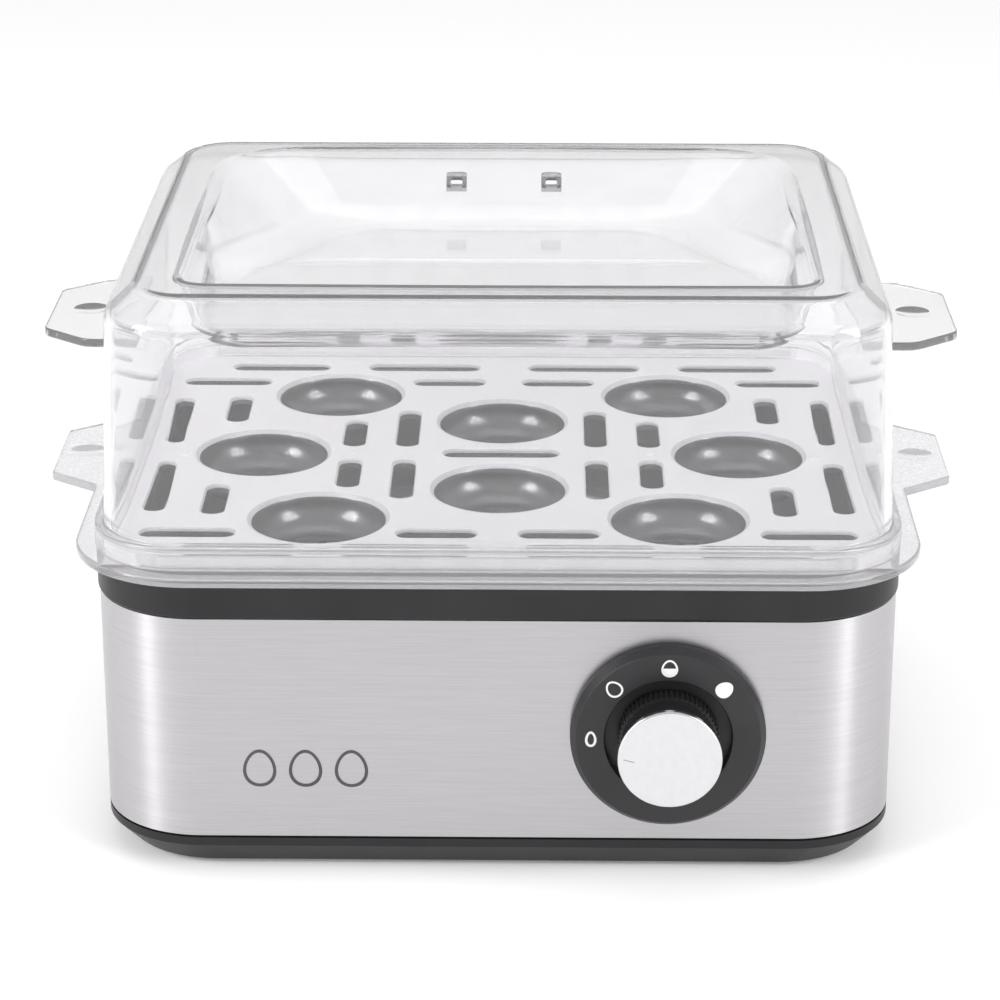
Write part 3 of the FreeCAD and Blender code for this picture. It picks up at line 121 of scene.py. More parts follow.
def make_world():
    """Soft studio light all round: white above, grey at the horizon."""
    world = bpy.data.worlds.new("studio")
    world.use_nodes = True
    bpy.context.scene.world = world
    tree = world.node_tree
    tree.nodes.clear()
    out = tree.nodes.new("ShaderNodeOutputWorld")
    back = tree.nodes.new("ShaderNodeBackground")
    coords = tree.nodes.new("ShaderNodeTexCoord")
    split = tree.nodes.new("ShaderNodeSeparateXYZ")
    ramp = tree.nodes.new("ShaderNodeValToRGB")
    ramp.color_ramp.elements[0].position = 0.0
    ramp.color_ramp.elements[0].color = HORIZON_COLOUR
    ramp.color_ramp.elements[1].position = WHITE_FROM_HEIGHT
    ramp.color_ramp.elements[1].color = WHITE
    tree.links.new(coords.outputs["Generated"], split.inputs[0])
    tree.links.new(split.outputs["Z"], ramp.inputs["Fac"])
    tree.links.new(ramp.outputs["Color"], back.inputs["Color"])
    back.inputs["Strength"].default_value = WORLD_STRENGTH
    tree.links.new(back.outputs[0], out.inputs[0])


def make_floor():
    """A wide sheet of white paper, faintly lit from within so that it stays even."""
    mesh = bpy.data.meshes.new("floor")
    corners = [(x * FLOOR_HALF, y * FLOOR_HALF, 0) for x, y in ((-1, -1), (1, -1), (1, 1), (-1, 1))]
    mesh.from_pydata(corners, [], [(0, 1, 2, 3)])
    floor = bpy.data.objects.new("floor", mesh)
    bpy.context.scene.collection.objects.link(floor)
    material, shader, _ = new_material("floor_paper")
    shader.inputs["Base Color"].default_value = (0.9, 0.9, 0.9, 1)
    shader.inputs["Roughness"].default_value = 0.8
    shader.inputs["Emission Color"].default_value = WHITE
    shader.inputs["Emission Strength"].default_value = 0.16
    mesh.materials.append(material)


# ------------------------------------------------------------------- materials

CLEAR_LID = (0.975, 0.973, 0.98)
LID_HAZE = 0.08
LIP_HAZE = 0.24
# Painted shade: the dark tint of the clear plastic round the vents, which stands in for the dark look of
# the vent holes.
VENT_PAINTED_SHADE = (0.26, 0.255, 0.265)
VENT_SHADE_FLATNESS = 1.6
VENT_WALL_MIDDLE = 80.0
VENT_WALL_HALF = 14.0
CLEAR_TRAY = (0.95, 0.948, 0.955)
DECK_HALF_X = 111.0
DECK_FROST = 0.88
RIM_DEPTH = 1.2
# Painted highlight: the share of white haze in a band just below the deck top, so that the mouths of the
# cups and slots look like bright rims.
RIM_PAINTED_HIGHLIGHT = 0.6
EDGE_FROST = 0.30
# Painted shade: the dark tint of the clear cups and slots, in place of the dark look through them.
CUP_PAINTED_SHADE = (0.22, 0.215, 0.225)
CUP_GLEAM = 0.36
CUP_ROUGHNESS = 0.18
PLASTICS = [
    ("black_plastic", (0.012, 0.0115, 0.013), (0.017, 0.0165, 0.018), 0.40, {"gleam": 0.32}),
    ("dial_plastic", (0.020, 0.019, 0.021), (0.026, 0.025, 0.027), 0.36, {"gleam": 0.38}),
    ("knob_plastic", (0.016, 0.016, 0.017), (0.022, 0.022, 0.023), 0.2, {"strength": 0.05, "gleam": 0.8}),
    ("foot_rubber", (0.018, 0.018, 0.018), (0.03, 0.03, 0.03), 0.75, {}),
    ("gland_plastic", (0.016, 0.016, 0.017), (0.026, 0.026, 0.027), 0.6, {}),
    ("silicone", (0.45, 0.45, 0.45), (0.55, 0.55, 0.55), 0.6, {}),
    ("white_sleeve", (0.62, 0.62, 0.58), (0.75, 0.75, 0.72), 0.7, {"grain": 900.0}),
    ("white_ceramic", (0.74, 0.72, 0.66), (0.82, 0.80, 0.74), 0.5, {}),
    ("terminal_plastic", (0.72, 0.72, 0.68), (0.8, 0.8, 0.76), 0.5, {}),
    ("lead_brown", (0.10, 0.035, 0.012), (0.14, 0.05, 0.02), 0.5, {}),
    ("lead_blue", (0.02, 0.07, 0.32), (0.03, 0.10, 0.42), 0.5, {}),
    ("lead_green", (0.10, 0.30, 0.02), (0.42, 0.45, 0.03), 0.5, {}),
    ("white_print", (0.80, 0.80, 0.80), (0.86, 0.86, 0.86), 0.5, {}),
    ("dark_print", (0.05, 0.05, 0.055), (0.07, 0.07, 0.075), 0.45, {}),
]
METALS = [
    ("satin_steel", (0.25, 0.25, 0.26), (0.30, 0.30, 0.31), 0.30, {"scale": 40.0, "strength": 0.01}),
    ("plated_steel", (0.50, 0.50, 0.51), (0.62, 0.62, 0.64), 0.32, {}),
    ("cast_aluminium", (0.46, 0.46, 0.46), (0.54, 0.54, 0.54), 0.42, {"scale": 900.0, "strength": 0.06}),
    ("element_steel", (0.20, 0.17, 0.15), (0.34, 0.31, 0.29), 0.45, {"scale": 200.0}),
    ("brass", (0.62, 0.45, 0.18), (0.74, 0.57, 0.26), 0.28, {}),
    ("bimetal", (0.42, 0.34, 0.22), (0.55, 0.46, 0.32), 0.36, {}),
    ("silver_cap", (0.66, 0.655, 0.67), (0.70, 0.695, 0.71), 0.2, {"strength": 0.02}),
]


def new_material(name):
    """A material with one Principled shader, and its node tree."""
    material = bpy.data.materials.new(name)
    material.use_nodes = True
    tree = material.node_tree
    tree.nodes.clear()
    out = tree.nodes.new("ShaderNodeOutputMaterial")
    shader = tree.nodes.new("ShaderNodeBsdfPrincipled")
    tree.links.new(shader.outputs[0], out.inputs["Surface"])
    return material, shader, tree


def object_coords(tree, scale=(1, 1, 1)):
    """Object coordinates stretched by scale, for a pattern in the object's own frame."""
    coords = tree.nodes.new("ShaderNodeTexCoord")
    mapping = tree.nodes.new("ShaderNodeMapping")
    mapping.inputs["Scale"].default_value = scale
    tree.links.new(coords.outputs["Object"], mapping.inputs["Vector"])
    return mapping.outputs["Vector"]


def noise(tree, vector, scale, detail=2.0, roughness=0.5):
    """Fractal noise from 0 to 1, with scale spots to a metre."""
    node = tree.nodes.new("ShaderNodeTexNoise")
    node.inputs["Scale"].default_value = scale
    node.inputs["Detail"].default_value = detail
    node.inputs["Roughness"].default_value = roughness
    tree.links.new(vector, node.inputs["Vector"])
    return node.outputs["Fac"]


def blend_colours(tree, factor, low, high, start=0.3, end=0.7):
    """The low colour where factor is start or less, the high one from end on."""
    node = tree.nodes.new("ShaderNodeValToRGB")
    node.color_ramp.elements[0].position = start
    node.color_ramp.elements[0].color = (*low, 1)
    node.color_ramp.elements[1].position = end
    node.color_ramp.elements[1].color = (*high, 1)
    tree.links.new(factor, node.inputs["Fac"])
    return node.outputs["Color"]


def spread(tree, value, low, high, start=0.0, end=1.0):
    """The value's range from start to end, mapped to low to high and held there beyond it."""
    node = tree.nodes.new("ShaderNodeMapRange")
    node.inputs["From Min"].default_value = start
    node.inputs["From Max"].default_value = end
    node.inputs["To Min"].default_value = low
    node.inputs["To Max"].default_value = high
    tree.links.new(value, node.inputs["Value"])
    return node.outputs["Result"]


def calc(tree, operation, first, second=None):
    """A math node; second is a number or another node's output."""
    node = tree.nodes.new("ShaderNodeMath")
    node.operation = operation
    tree.links.new(first, node.inputs[0])
    if isinstance(second, (int, float)):
        node.inputs[1].default_value = second
    elif second is not None:
        tree.links.new(second, node.inputs[1])
    return node.outputs[0]


def bump(tree, shader, height, strength, distance):
    """Relief in the shader's surface from a height pattern; distance in metres."""
    node = tree.nodes.new("ShaderNodeBump")
    node.inputs["Strength"].default_value = strength
    node.inputs["Distance"].default_value = distance
    tree.links.new(height, node.inputs["Height"])
    tree.links.new(node.outputs["Normal"], shader.inputs["Normal"])


def plastic(name, low, high, roughness, grain=1800.0, strength=0.25, gleam=0.5):
    """Moulded plastic or rubber: a fine grain, with slightly uneven colour and gloss."""
    material, shader, tree = new_material(name)
    vector = object_coords(tree)
    colour = blend_colours(tree, noise(tree, vector, 45.0, 3.0), low, high)
    tree.links.new(colour, shader.inputs["Base Color"])
    gloss = spread(tree, noise(tree, vector, 120.0), roughness - 0.05, roughness + 0.05)
    tree.links.new(gloss, shader.inputs["Roughness"])
    shader.inputs["Specular IOR Level"].default_value = gleam
    bump(tree, shader, noise(tree, vector, grain, 1.0), strength, 0.00002)
    return material


def metal(name, low, high, roughness, scale=600.0, strength=0.08):
    """Metal with its working marks as fine noise."""
    material, shader, tree = new_material(name)
    marks = noise(tree, object_coords(tree), scale, 4.0, 0.6)
    tree.links.new(blend_colours(tree, marks, low, high), shader.inputs["Base Color"])
    tree.links.new(spread(tree, marks, roughness - 0.05, roughness + 0.07), shader.inputs["Roughness"])
    shader.inputs["Metallic"].default_value = 1.0
    bump(tree, shader, marks, strength, 0.00002)
    return material


def brushed_steel():
    """Sheet steel brushed along the belt: long fine streaks that run level round the body."""
    material, shader, tree = new_material("brushed_shell")
    fine = noise(tree, object_coords(tree, (0.01, 0.01, 1.0)), 5200.0, 3.0, 0.6)
    broad = noise(tree, object_coords(tree, (0.02, 0.02, 1.0)), 1300.0, 3.0, 0.6)
    fine_share = calc(tree, "MULTIPLY", fine, 0.78)
    streaks = calc(tree, "ADD", fine_share, calc(tree, "MULTIPLY", broad, 0.22))
    colour = blend_colours(tree, streaks, (0.49, 0.475, 0.49), (0.565, 0.55, 0.565), 0.35, 0.65)
    tree.links.new(colour, shader.inputs["Base Color"])
    tree.links.new(spread(tree, streaks, 0.28, 0.36, 0.3, 0.7), shader.inputs["Roughness"])
    shader.inputs["Metallic"].default_value = 1.0
    shader.inputs["Anisotropic"].default_value = 0.85
    shader.inputs["Anisotropic Rotation"].default_value = 0.25
    tangent = tree.nodes.new("ShaderNodeTangent")
    tangent.direction_type = "RADIAL"
    tangent.axis = "Z"
    tree.links.new(tangent.outputs[0], shader.inputs["Tangent"])
    bump(tree, shader, streaks, 0.08, 0.00002)
    return material


def glass_shader(tree, shader, colour, roughness, ripple):
    """Clear moulded plastic with faint flow ripples in its skin."""
    shader.inputs["Base Color"].default_value = (*colour, 1)
    shader.inputs["Transmission Weight"].default_value = 1.0
    shader.inputs["IOR"].default_value = 1.42
    vector = object_coords(tree)
    gloss = spread(tree, noise(tree, vector, 60.0), roughness, roughness + 0.02)
    tree.links.new(gloss, shader.inputs["Roughness"])
    bump(tree, shader, noise(tree, vector, 38.0), ripple, 0.0004)


def let_lamps_through(tree, body, tint):
    """Lamplight passes straight through the body, so that it casts no dark shadow."""
    out = next(n for n in tree.nodes if n.type == "OUTPUT_MATERIAL")
    path = tree.nodes.new("ShaderNodeLightPath")
    clear = tree.nodes.new("ShaderNodeBsdfTransparent")
    clear.inputs["Color"].default_value = (*tint, 1)
    switch = tree.nodes.new("ShaderNodeMixShader")
    tree.links.new(path.outputs["Is Shadow Ray"], switch.inputs["Fac"])
    tree.links.new(body, switch.inputs[1])
    tree.links.new(clear.outputs[0], switch.inputs[2])
    tree.links.new(switch.outputs[0], out.inputs["Surface"])


def veil(tree, clear, amount, low, high, grain):
    """The clear shader's output, with the share of it that amount gives scattered by haze."""
    haze = tree.nodes.new("ShaderNodeBsdfPrincipled")
    marks = noise(tree, object_coords(tree), grain)
    tree.links.new(blend_colours(tree, marks, low, high), haze.inputs["Base Color"])
    haze.inputs["Roughness"].default_value = 0.42
    bump(tree, haze, marks, 0.1, 0.00002)
    blend = tree.nodes.new("ShaderNodeMixShader")
    tree.links.new(amount, blend.inputs["Fac"])
    tree.links.new(clear, blend.inputs[1])
    tree.links.new(haze.outputs[0], blend.inputs[2])
    return blend.outputs[0]


def clear_lid():
    """Clear lid with a little haze, more of it at the lip, and painted shade: the plastic round the vents
    is tinted dark.
    """
    material, shader, tree = new_material("clear_lid")
    glass_shader(tree, shader, CLEAR_LID, 0.008, 0.06)
    place = tree.nodes.new("ShaderNodeSeparateXYZ")
    tree.links.new(object_coords(tree), place.inputs[0])
    low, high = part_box("lid")
    lip_top = low[2] + LIP_HEIGHT * MM
    haze = spread(tree, place.outputs["Z"], LIP_HAZE, LID_HAZE, lip_top - 0.4 * MM, lip_top + 0.4 * MM)
    body = veil(tree, shader.outputs[0], haze, (0.48, 0.475, 0.485), (0.56, 0.555, 0.565), 90.0)

    def away_from(value, centre):
        return calc(tree, "ABSOLUTE", calc(tree, "SUBTRACT", value, centre))

    half_x = VENT_COLLAR_HALF[0] * MM
    across = away_from(calc(tree, "ABSOLUTE", place.outputs["X"]), VENT_SIDE * MM)
    rise = away_from(place.outputs["Z"], high[2] - VENT_DROP * MM)
    reach = calc(tree, "MAXIMUM", across, calc(tree, "MULTIPLY", rise, VENT_SHADE_FLATNESS))
    off_vent = spread(tree, reach, 0.0, 1.0, half_x, half_x + 0.2 * MM)
    depth = away_from(place.outputs["Y"], VENT_WALL_MIDDLE * MM)
    off_wall = spread(tree, depth, 0.0, 1.0, VENT_WALL_HALF * MM, (VENT_WALL_HALF + 0.2) * MM)
    clear = calc(tree, "MAXIMUM", off_vent, off_wall)
    # Painted shade: the plastic round each vent is tinted dark, and away from the vents it keeps its clear
    # colour.
    tree.links.new(blend_colours(tree, clear, VENT_PAINTED_SHADE, CLEAR_LID, 0.0, 1.0), shader.inputs["Base Color"])
    let_lamps_through(tree, body, (0.95, 0.95, 0.955))
    return material


def clear_tray():
    """Clear tray: its deck is matt, its cups and slots are glossy and tinted dark as painted shade, below a
    frosted rim band that is a painted highlight.
    """
    material, shader, tree = new_material("clear_tray")
    glass_shader(tree, shader, CLEAR_TRAY, 0.015, 0.05)
    place = tree.nodes.new("ShaderNodeSeparateXYZ")
    tree.links.new(object_coords(tree), place.inputs[0])
    low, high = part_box("lid")
    deck_top = low[2]
    deck_half_y = (high[1] - low[1]) / 2 - 4.0 * MM
    middle_y = (high[1] + low[1]) / 2
    across = calc(tree, "MULTIPLY", calc(tree, "ABSOLUTE", place.outputs["X"]), 1 / (DECK_HALF_X * MM))
    along = calc(tree, "ABSOLUTE", calc(tree, "SUBTRACT", place.outputs["Y"], middle_y))
    along = calc(tree, "MULTIPLY", along, 1 / deck_half_y)
    inside = spread(tree, calc(tree, "MAXIMUM", across, along), 1.0, 0.0, 0.985, 1.0)

    def above(drop):
        level = deck_top - drop * MM
        return spread(tree, place.outputs["Z"], 0.0, 1.0, level - 0.1 * MM, level + 0.1 * MM)

    # Painted highlight: a band of white haze down to RIM_DEPTH below the deck top, round each cup and slot.
    rim = above(RIM_DEPTH)
    deck_share = calc(tree, "MULTIPLY", above(0.15), DECK_FROST)
    frosted = calc(tree, "MAXIMUM", deck_share, calc(tree, "MULTIPLY", rim, RIM_PAINTED_HIGHLIGHT))
    edge_share = spread(tree, inside, EDGE_FROST, 0.01)
    matt = calc(tree, "MAXIMUM", calc(tree, "MULTIPLY", inside, frosted), edge_share)
    body = veil(tree, shader.outputs[0], matt, (0.62, 0.61, 0.625), (0.68, 0.67, 0.685), 900.0)
    below = calc(tree, "SUBTRACT", inside, rim)
    tree.links.new(spread(tree, below, 0.0, CUP_GLEAM), shader.inputs["Metallic"])
    tree.links.new(spread(tree, below, 0.02, CUP_ROUGHNESS), shader.inputs["Roughness"])
    # Painted shade: below the rim, the clear colour of the cups and slots turns dark.
    tree.links.new(blend_colours(tree, below, CLEAR_TRAY, CUP_PAINTED_SHADE, 0.0, 1.0), shader.inputs["Base Color"])
    let_lamps_through(tree, body, (0.93, 0.93, 0.94))
    return material


def make_materials():
    """The materials by name: one for each slot of the record, and two for the prints."""
    materials = {"brushed_shell": brushed_steel(), "clear_lid": clear_lid(), "clear_tray": clear_tray()}
    for make, table in ((plastic, PLASTICS), (metal, METALS)):
        for name, dark, light, roughness, choices in table:
            materials[name] = make(name, dark, light, roughness, **choices)
    return materials


def dress_nodes(materials):
    """Each CAD node gets the material of its slot in the record."""
    for part in frame["record"]["subparts"]:
        node = frame["nodes"][part["node"]]
        node.data.materials.clear()
        node.data.materials.append(materials[part["material_slot"]])


# --------------------------------------------------------------- mesh building


def new_object(name, mesh, material, body):
    """A piece in the scene, on a body and with a slot of the record."""
    piece = bpy.data.objects.new(name, mesh)
    bpy.context.scene.collection.objects.link(piece)
    mesh.materials.append(material)
    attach(piece, body)
    return piece


def bend(corner, start, end, steps):
    """Points of a smooth bend from start to end, drawn towards the corner."""
    ts = [k / steps for k in range(steps + 1)]
    return [start * (1 - t) ** 2 + corner * 2 * t * (1 - t) + end * t * t for t in ts]


def rounded_path(points, steps):
    """A polyline whose inner points (x, z, reach) become smooth bends that start reach before them."""
    path = [Vector(points[0][:2])]
    for before, (x, z, reach), after in zip(points, points[1:], points[2:]):
        corner = Vector((x, z))
        back = Vector(before[:2]) - corner
        ahead = Vector(after[:2]) - corner
        start = corner + back.normalized() * min(reach, 0.48 * back.length)
        end = corner + ahead.normalized() * min(reach, 0.48 * ahead.length)
        path += bend(corner, start, end, steps)
    path.append(Vector(points[-1][:2]))
    return path


def rounded_polygon(points, reaches, steps=10):
    """Corner points with how far from each its bend starts, as a closed outline."""
    outline = []
    count = len(points)
    for k in range(count):
        corner = Vector(points[k])
        back = Vector(points[k - 1]) - corner
        ahead = Vector(points[(k + 1) % count]) - corner
        start = corner + back.normalized() * reaches[k]
        end = corner + ahead.normalized() * reaches[k]
        outline += bend(corner, start, end, steps)
    return outline


def rounded_box(half_x, half_y, corner):
    """A rectangle with corner arcs, anticlockwise from the right side."""
    outline = []
    steps = 12
    for turn, (sx, sy) in enumerate(((1, 1), (-1, 1), (-1, -1), (1, -1))):
        for n in range(steps + 1):
            angle = math.pi / 2 * (turn + n / steps)
            centre = Vector((sx * (half_x - corner), sy * (half_y - corner)))
            outline.append(centre + corner * Vector((math.cos(angle), math.sin(angle))))
    return outline


def reach_at(outline, angles):
    """How far from the middle the outline lies at each angle."""
    turns = [math.atan2(p.y, p.x) % math.tau for p in outline]
    first = turns.index(min(turns))
    points = outline[first:] + outline[:first]
    turns = turns[first:] + turns[:first]
    points.append(points[0])
    turns.append(turns[0] + math.tau)
    reaches = []
    for angle in angles:
        look = angle if angle >= turns[0] else angle + math.tau
        k = 0
        while turns[k + 1] < look:
            k += 1
        a, b = points[k], points[k + 1]
        ray = Vector((math.cos(angle), math.sin(angle)))
        side = b - a
        cross = ray.x * side.y - ray.y * side.x
        reaches.append((a.x * side.y - a.y * side.x) / cross)
    return reaches


# ------------------------------------------------------------------- clear lid

def tool_object(name, form):
    """A form as an object that combine uses up."""
    mesh = bpy.data.meshes.new(name)
    form.to_mesh(mesh)
    form.free()
    tool = bpy.data.objects.new(name, mesh)
    bpy.context.scene.collection.objects.link(tool)
    return tool


def leaning_box(name, low, high, bevel, lean):
    """A box with rounded edges along Y, which leans back by a share of its height; in mm."""
    form = bmesh.new()
    bmesh.ops.create_cube(form, size=1.0)
    for v in form.verts:
        for axis in range(3):
            middle = (low[axis] + high[axis]) / 2
            v.co[axis] = (middle + v.co[axis] * (high[axis] - low[axis])) * MM
    along_y = [e for e in form.edges if abs(e.verts[0].co.y - e.verts[1].co.y) > 1e-6]
    bmesh.ops.bevel(form, geom=along_y, offset=bevel * MM, segments=4, affect="EDGES", profile=0.5)
    middle_z = (low[2] + high[2]) / 2 * MM
    for v in form.verts:
        v.co.y += (v.co.z - middle_z) * lean
    return tool_object(name, form)


def vent_box(name, place, half, span, bevel, lean):
    """A leaning box round a vent's axis, from span[0] to span[1] behind the wall; in mm."""
    x, wall_y, z = place
    low = (x - half[0], wall_y + span[0], z - half[1])
    high = (x + half[0], wall_y + span[1], z + half[1])
    return leaning_box(name, low, high, bevel, lean)


def dimple_ball(x, y, top):
    """The bottom of a large ball that dips into a tab's top face, to leave a shallow hollow."""
    radius = (DIMPLE_WIDTH ** 2 / 4 + DIMPLE_DEPTH ** 2) / (2 * DIMPLE_DEPTH)
    form = bmesh.new()
    bmesh.ops.create_uvsphere(form, u_segments=96, v_segments=96, radius=radius * MM)
    cap = [v for v in form.verts if v.co.z > -(radius - 2.5 * DIMPLE_DEPTH) * MM]
    bmesh.ops.delete(form, geom=cap, context="VERTS")
    rim = [e for e in form.edges if e.is_boundary]
    bmesh.ops.contextual_create(form, geom=rim)
    bmesh.ops.recalc_face_normals(form, faces=form.faces)
    for v in form.verts:
        v.co += Vector((x, y, top - DIMPLE_DEPTH + radius)) * MM
    return tool_object("dimple", form)


def tab_form(side, root_x, straight_x, end_x, top, middle_y):
    """A side tab: straight near the wall, then narrowing to its end, with soft edges; in mm."""
    root_half, tip_half = 30.0, 19.0
    corners = [(root_x, -root_half), (straight_x, -root_half), (end_x, -tip_half)]
    corners += [(end_x, tip_half), (straight_x, root_half), (root_x, root_half)]
    outline = rounded_polygon(corners, (0.01, 3.0, 2.5, 2.5, 3.0, 0.01), 5)
    form = bmesh.new()
    low = (top - TAB_THICKNESS) * MM
    bottom = [form.verts.new((side * p.x * MM, (p.y + middle_y) * MM, low)) for p in outline]
    made = bmesh.ops.extrude_face_region(form, geom=[form.faces.new(bottom)])
    for item in made["geom"]:
        if isinstance(item, bmesh.types.BMVert):
            item.co.z = top * MM
    bmesh.ops.remove_doubles(form, verts=form.verts, dist=1e-6)
    bmesh.ops.recalc_face_normals(form, faces=form.faces)
    level = [e for e in form.edges if abs(e.verts[0].co.z - e.verts[1].co.z) < 1e-7]
    bmesh.ops.bevel(form, geom=level, offset=0.45 * MM, segments=3, affect="EDGES", profile=0.5)
    return tool_object("lid_tab", form)


def combine(piece, tool, operation):
    """The piece with the tool joined to it or cut from it, and the tool gone."""
    modifier = piece.modifiers.new(operation.lower(), "BOOLEAN")
    modifier.object = tool
    modifier.operation = operation
    modifier.solver = "EXACT"
    graph = bpy.context.evaluated_depsgraph_get()
    result = bpy.data.meshes.new_from_object(piece.evaluated_get(graph))
    piece.modifiers.clear()
    piece.data = result
    bpy.data.objects.remove(tool)


def wall_rings(angles, lip_half_y, foot, top):
    """The lid's outside and inside from its rim down round the lip and up again."""
    lip_top = foot + LIP_HEIGHT
    wall_x, shoulder_x = LIP_HALF_X - LIP_OUT, LIP_HALF_X - SHOULDER_IN
    rim_x, shoulder = LIP_HALF_X - RIM_IN, top - SHOULDER_DROP
    inner = top - LID_WALL

    def corner_of(x):
        """The outline's corner radius, which shrinks towards the rim."""
        if x > wall_x:
            return 22.0 + (x - wall_x)
        if x > shoulder_x:
            return 21.0 + (x - shoulder_x) / (wall_x - shoulder_x)
        return 14.0 + 7.0 * max(x - rim_x, -4.0) / (shoulder_x - rim_x)

    profile = rounded_path([
        (rim_x - 4.0, top, 0), (rim_x, top, 2.4), (shoulder_x, shoulder, 2.6),
        (wall_x, lip_top, 0.5), (LIP_HALF_X, lip_top, 0.8), (LIP_HALF_X, foot, 0.3),
        (LIP_HALF_X - LID_WALL, foot, 0.3), (LIP_HALF_X - LID_WALL, lip_top - LID_WALL, 0.4),
        (wall_x - LID_WALL, lip_top - LID_WALL, 0.6), (shoulder_x - LID_WALL, shoulder - 0.8, 1.6),
        (rim_x - 1.1, inner, 1.2), (rim_x - 4.0, inner, 0)], 4)
    rings = []
    for x, z in profile:
        outline = rounded_box(x, x - LIP_HALF_X + lip_half_y, corner_of(x))
        rings.append([(reach, z) for reach in reach_at(outline, angles)])
    return rings


def recess_rings(angles, top, thick, swell):
    """One face of the sunk top, from its mouth down to its floor; thick below the upper face."""
    mouth = rounded_polygon(
        [(87.9, MOUTH_BACK), (-87.9, MOUTH_BACK), (-87.9, -70.7), (87.9, -70.7)],
        (30.0, 30.0, 10.0, 10.0))
    basin = rounded_polygon(
        [(86.1, 0.0), (50.0, BASIN_BACK), (-50.0, BASIN_BACK), (-86.1, 0.0), (-82.0, -66.3), (82.0, -66.3)],
        (10.0, 14.0, 14.0, 10.0, 8.0, 8.0))
    rim_z, floor_z = top - thick, top - RECESS_DEPTH - thick
    columns = []
    for mouth_r, basin_r in zip(reach_at(mouth, angles), reach_at(basin, angles)):
        mouth_r, basin_r = mouth_r + swell, basin_r + swell * 0.6
        floor_bend = min(9.0, 0.42 * basin_r)
        columns.append(rounded_path([
            (mouth_r + 4.0, rim_z, 0), (mouth_r, rim_z, 3.4),
            (basin_r, floor_z, floor_bend), (basin_r * 0.35, floor_z, 0)], 8))
    return [[(p.x, p.y) for p in ring] for ring in zip(*columns)]


def make_lid(materials):
    """The lid: one clear moulded shell with a sunk top, two vents and two side tabs."""
    low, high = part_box("lid")
    middle_y = (low[1] + high[1]) / 2 / MM
    lip_half_y = (high[1] - low[1]) / 2 / MM
    foot, top, end_x = low[2] / MM, high[2] / MM, high[0] / MM
    angles = [math.tau * k / RING_STEPS for k in range(RING_STEPS)]
    sunk_top = recess_rings(angles, top, 0.0, 0.0)
    sunk_under = recess_rings(angles, top, LID_WALL, 1.6)
    rings = sunk_top[::-1] + wall_rings(angles, lip_half_y, foot, top) + sunk_under

    mesh = bpy.data.meshes.new("lid_shell")
    form = bmesh.new()
    grid = []
    for ring in rings:
        grid.append([form.verts.new((r * math.cos(a) * MM, (r * math.sin(a) + middle_y) * MM, z * MM))
                     for a, (r, z) in zip(angles, ring)])
    for lower, upper in zip(grid, grid[1:]):
        for k in range(RING_STEPS):
            n = (k + 1) % RING_STEPS
            form.faces.new((lower[k], upper[k], upper[n], lower[n]))
    form.faces.new(grid[0])
    form.faces.new(reversed(grid[-1]))
    bmesh.ops.recalc_face_normals(form, faces=form.faces)
    form.to_mesh(mesh)
    form.free()
    piece = new_object("lid_shell", mesh, materials["clear_lid"], "cover")

    tab_root = LIP_HALF_X - SHOULDER_IN - 0.9
    tab_top = top - TAB_DROP
    lean = (MOUTH_BACK - BASIN_BACK) / RECESS_DEPTH
    vent_wall_y = MOUTH_BACK - VENT_DROP * lean + middle_y
    for side in (-1, 1):
        combine(piece, tab_form(side, tab_root, LIP_HALF_X + 6.8, end_x, tab_top, middle_y), "UNION")
        combine(piece, dimple_ball(side * (end_x - DIMPLE_FROM_END), middle_y, tab_top), "DIFFERENCE")
        place = (side * VENT_SIDE, vent_wall_y, top - VENT_DROP)
        collar = vent_box("vent_collar", place, VENT_COLLAR_HALF, VENT_COLLAR_SPAN, 1.1, lean)
        combine(piece, collar, "UNION")
        hole = vent_box("vent_hole", place, VENT_HOLE_HALF, VENT_HOLE_SPAN, 0.6, lean)
        combine(piece, hole, "DIFFERENCE")
    piece.data.shade_smooth()
    piece.data.set_sharp_from_angle(angle=math.radians(35))
    even = piece.modifiers.new("even_shading", "WEIGHTED_NORMAL")
    even.keep_sharp = True
    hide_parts("lid")


# ------------------------------------------------------ printed symbols, in mm

PRINT_THICKNESS = 0.05
PRINT_LIFT = 0.02
MARK_REACH = 21.7
SIGN_X = -54.0
SIGN_Z = 33.0
SIGN_PITCH = 13.0


def strip_faces(first, second):
    """The faces between two loops of as many corners, each as its four corners."""
    count = len(first)
    return [(first[k], first[(k + 1) % count], second[(k + 1) % count], second[k]) for k in range(count)]


def flat_piece(name, outlines, place, material):
    """Thin print on a face of the base that looks along -Y: outlines, each with its hole or None."""
    mesh = bpy.data.meshes.new(name)
    form = bmesh.new()

    def layer(outline, depth):
        x, y, z = place
        return [form.verts.new((x + p.x * MM, y - depth * MM, z + p.y * MM)) for p in outline]

    for outer, inner in outlines:
        loops = []
        for outline in (outer, inner):
            if outline is not None:
                loops.append((layer(outline, 0.0), layer(outline, PRINT_THICKNESS)))
        faces = []
        for back, front in loops:
            faces += strip_faces(back, front)
        if len(loops) == 2:
            for a, b in zip(*loops):
                faces += strip_faces(a, b)
        else:
            faces += loops[0]
        for corners in faces:
            form.faces.new(corners)
    bmesh.ops.recalc_face_normals(form, faces=form.faces)
    form.to_mesh(mesh)
    form.free()
    new_object(name, mesh, material, "base")


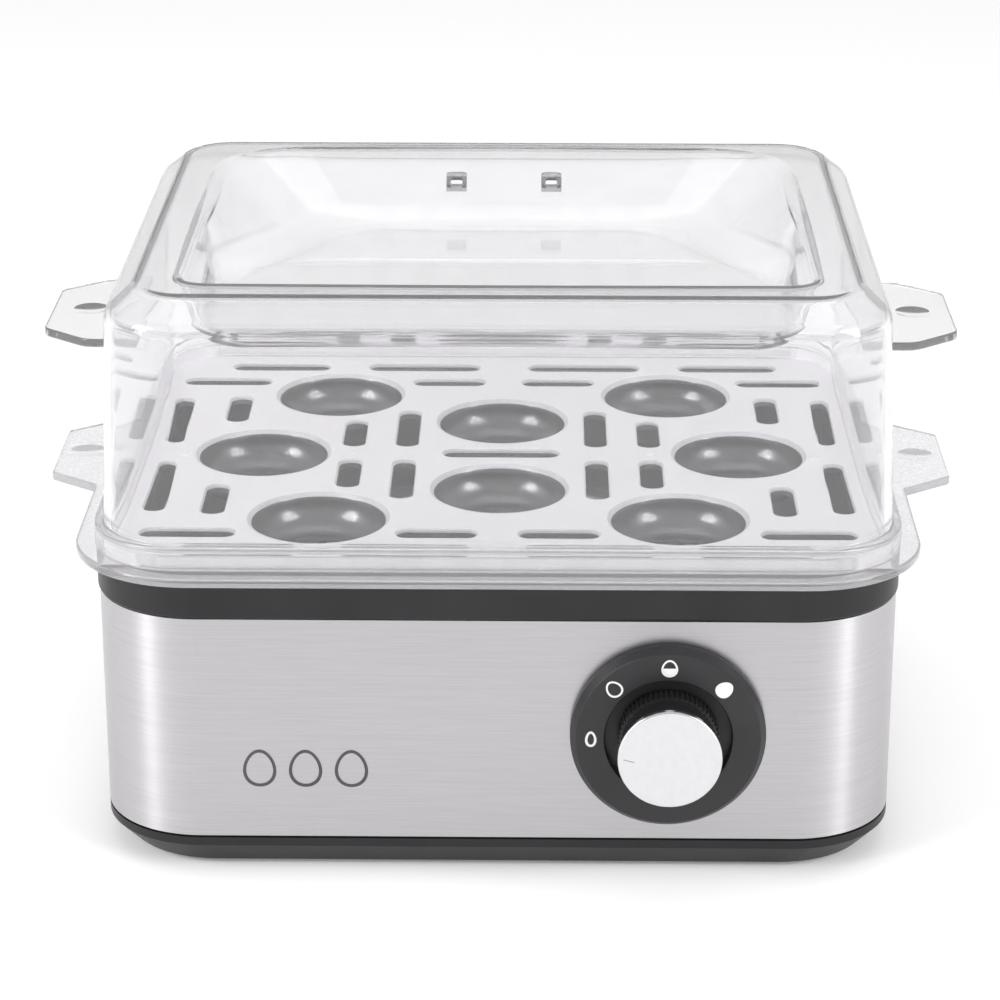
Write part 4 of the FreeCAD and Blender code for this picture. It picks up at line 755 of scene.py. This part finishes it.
def egg_outline(width, height, turn, centre):
    """An egg's outline, blunt end down, turned about its middle."""
    steps = 48
    return [egg_point(width, height, turn, centre, math.tau * k / steps) for k in range(steps)]


def egg_point(width, height, turn, centre, angle):
    """The egg outline's point at an angle, narrower towards the top."""
    squeeze = 1.0 - 0.14 * math.sin(angle)
    point = Vector((width / 2 * math.cos(angle) * squeeze, height / 2 * math.sin(angle)))
    point.rotate(Matrix.Rotation(turn, 2))
    return point + Vector(centre)


def ring_print(width, height, line, turn, centre):
    """An egg's outline drawn as a line."""
    outer = egg_outline(width, height, turn, centre)
    return outer, egg_outline(width - 2 * line, height - 2 * line, turn, centre)


def make_dial_print(materials):
    """Level marks round the dial: off, soft, medium and hard eggs."""
    low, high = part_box("dial_bezel")
    middle = ((low[0] + high[0]) / 2, low[1] - PRINT_LIFT * MM, (low[2] + high[2]) / 2)

    def at(degrees):
        angle = math.radians(degrees)
        return MARK_REACH * math.cos(angle), MARK_REACH * math.sin(angle)

    half_steps = 24
    turns = [math.pi * (1 + k / (half_steps - 1)) for k in range(half_steps)]
    marks = [
        ring_print(3.2, 4.8, 0.7, 0.0, at(180)),
        ring_print(4.6, 5.2, 0.55, math.radians(40), at(135)),
        ring_print(4.6, 5.2, 0.55, 0.0, at(90)),
        ([egg_point(3.7, 4.3, 0.0, at(90), turn) for turn in turns], None),
        (egg_outline(4.6, 5.2, math.radians(-50), at(45)), None),
    ]
    flat_piece("dial_marks", marks, middle, materials["white_print"])


def make_body_print(materials):
    """A plain sign of three eggs on the front of the shell."""
    low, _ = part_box("steel_shell")
    place = (SIGN_X * MM, low[1] - PRINT_LIFT * MM, SIGN_Z * MM)
    marks = [ring_print(9.4, 11.6, 0.95, 0.0, (k * SIGN_PITCH, 0.0)) for k in (-1, 0, 1)]
    flat_piece("body_sign", marks, place, materials["dark_print"])


# ----------------------------------------------------------------------- build

materials = make_materials()
make_camera()
for light in LIGHTS:
    area_light(*light)
make_world()
make_floor()
dress_nodes(materials)
make_lid(materials)
make_dial_print(materials)
make_body_print(materials)
bpy.context.scene.view_settings.view_transform = "Standard"
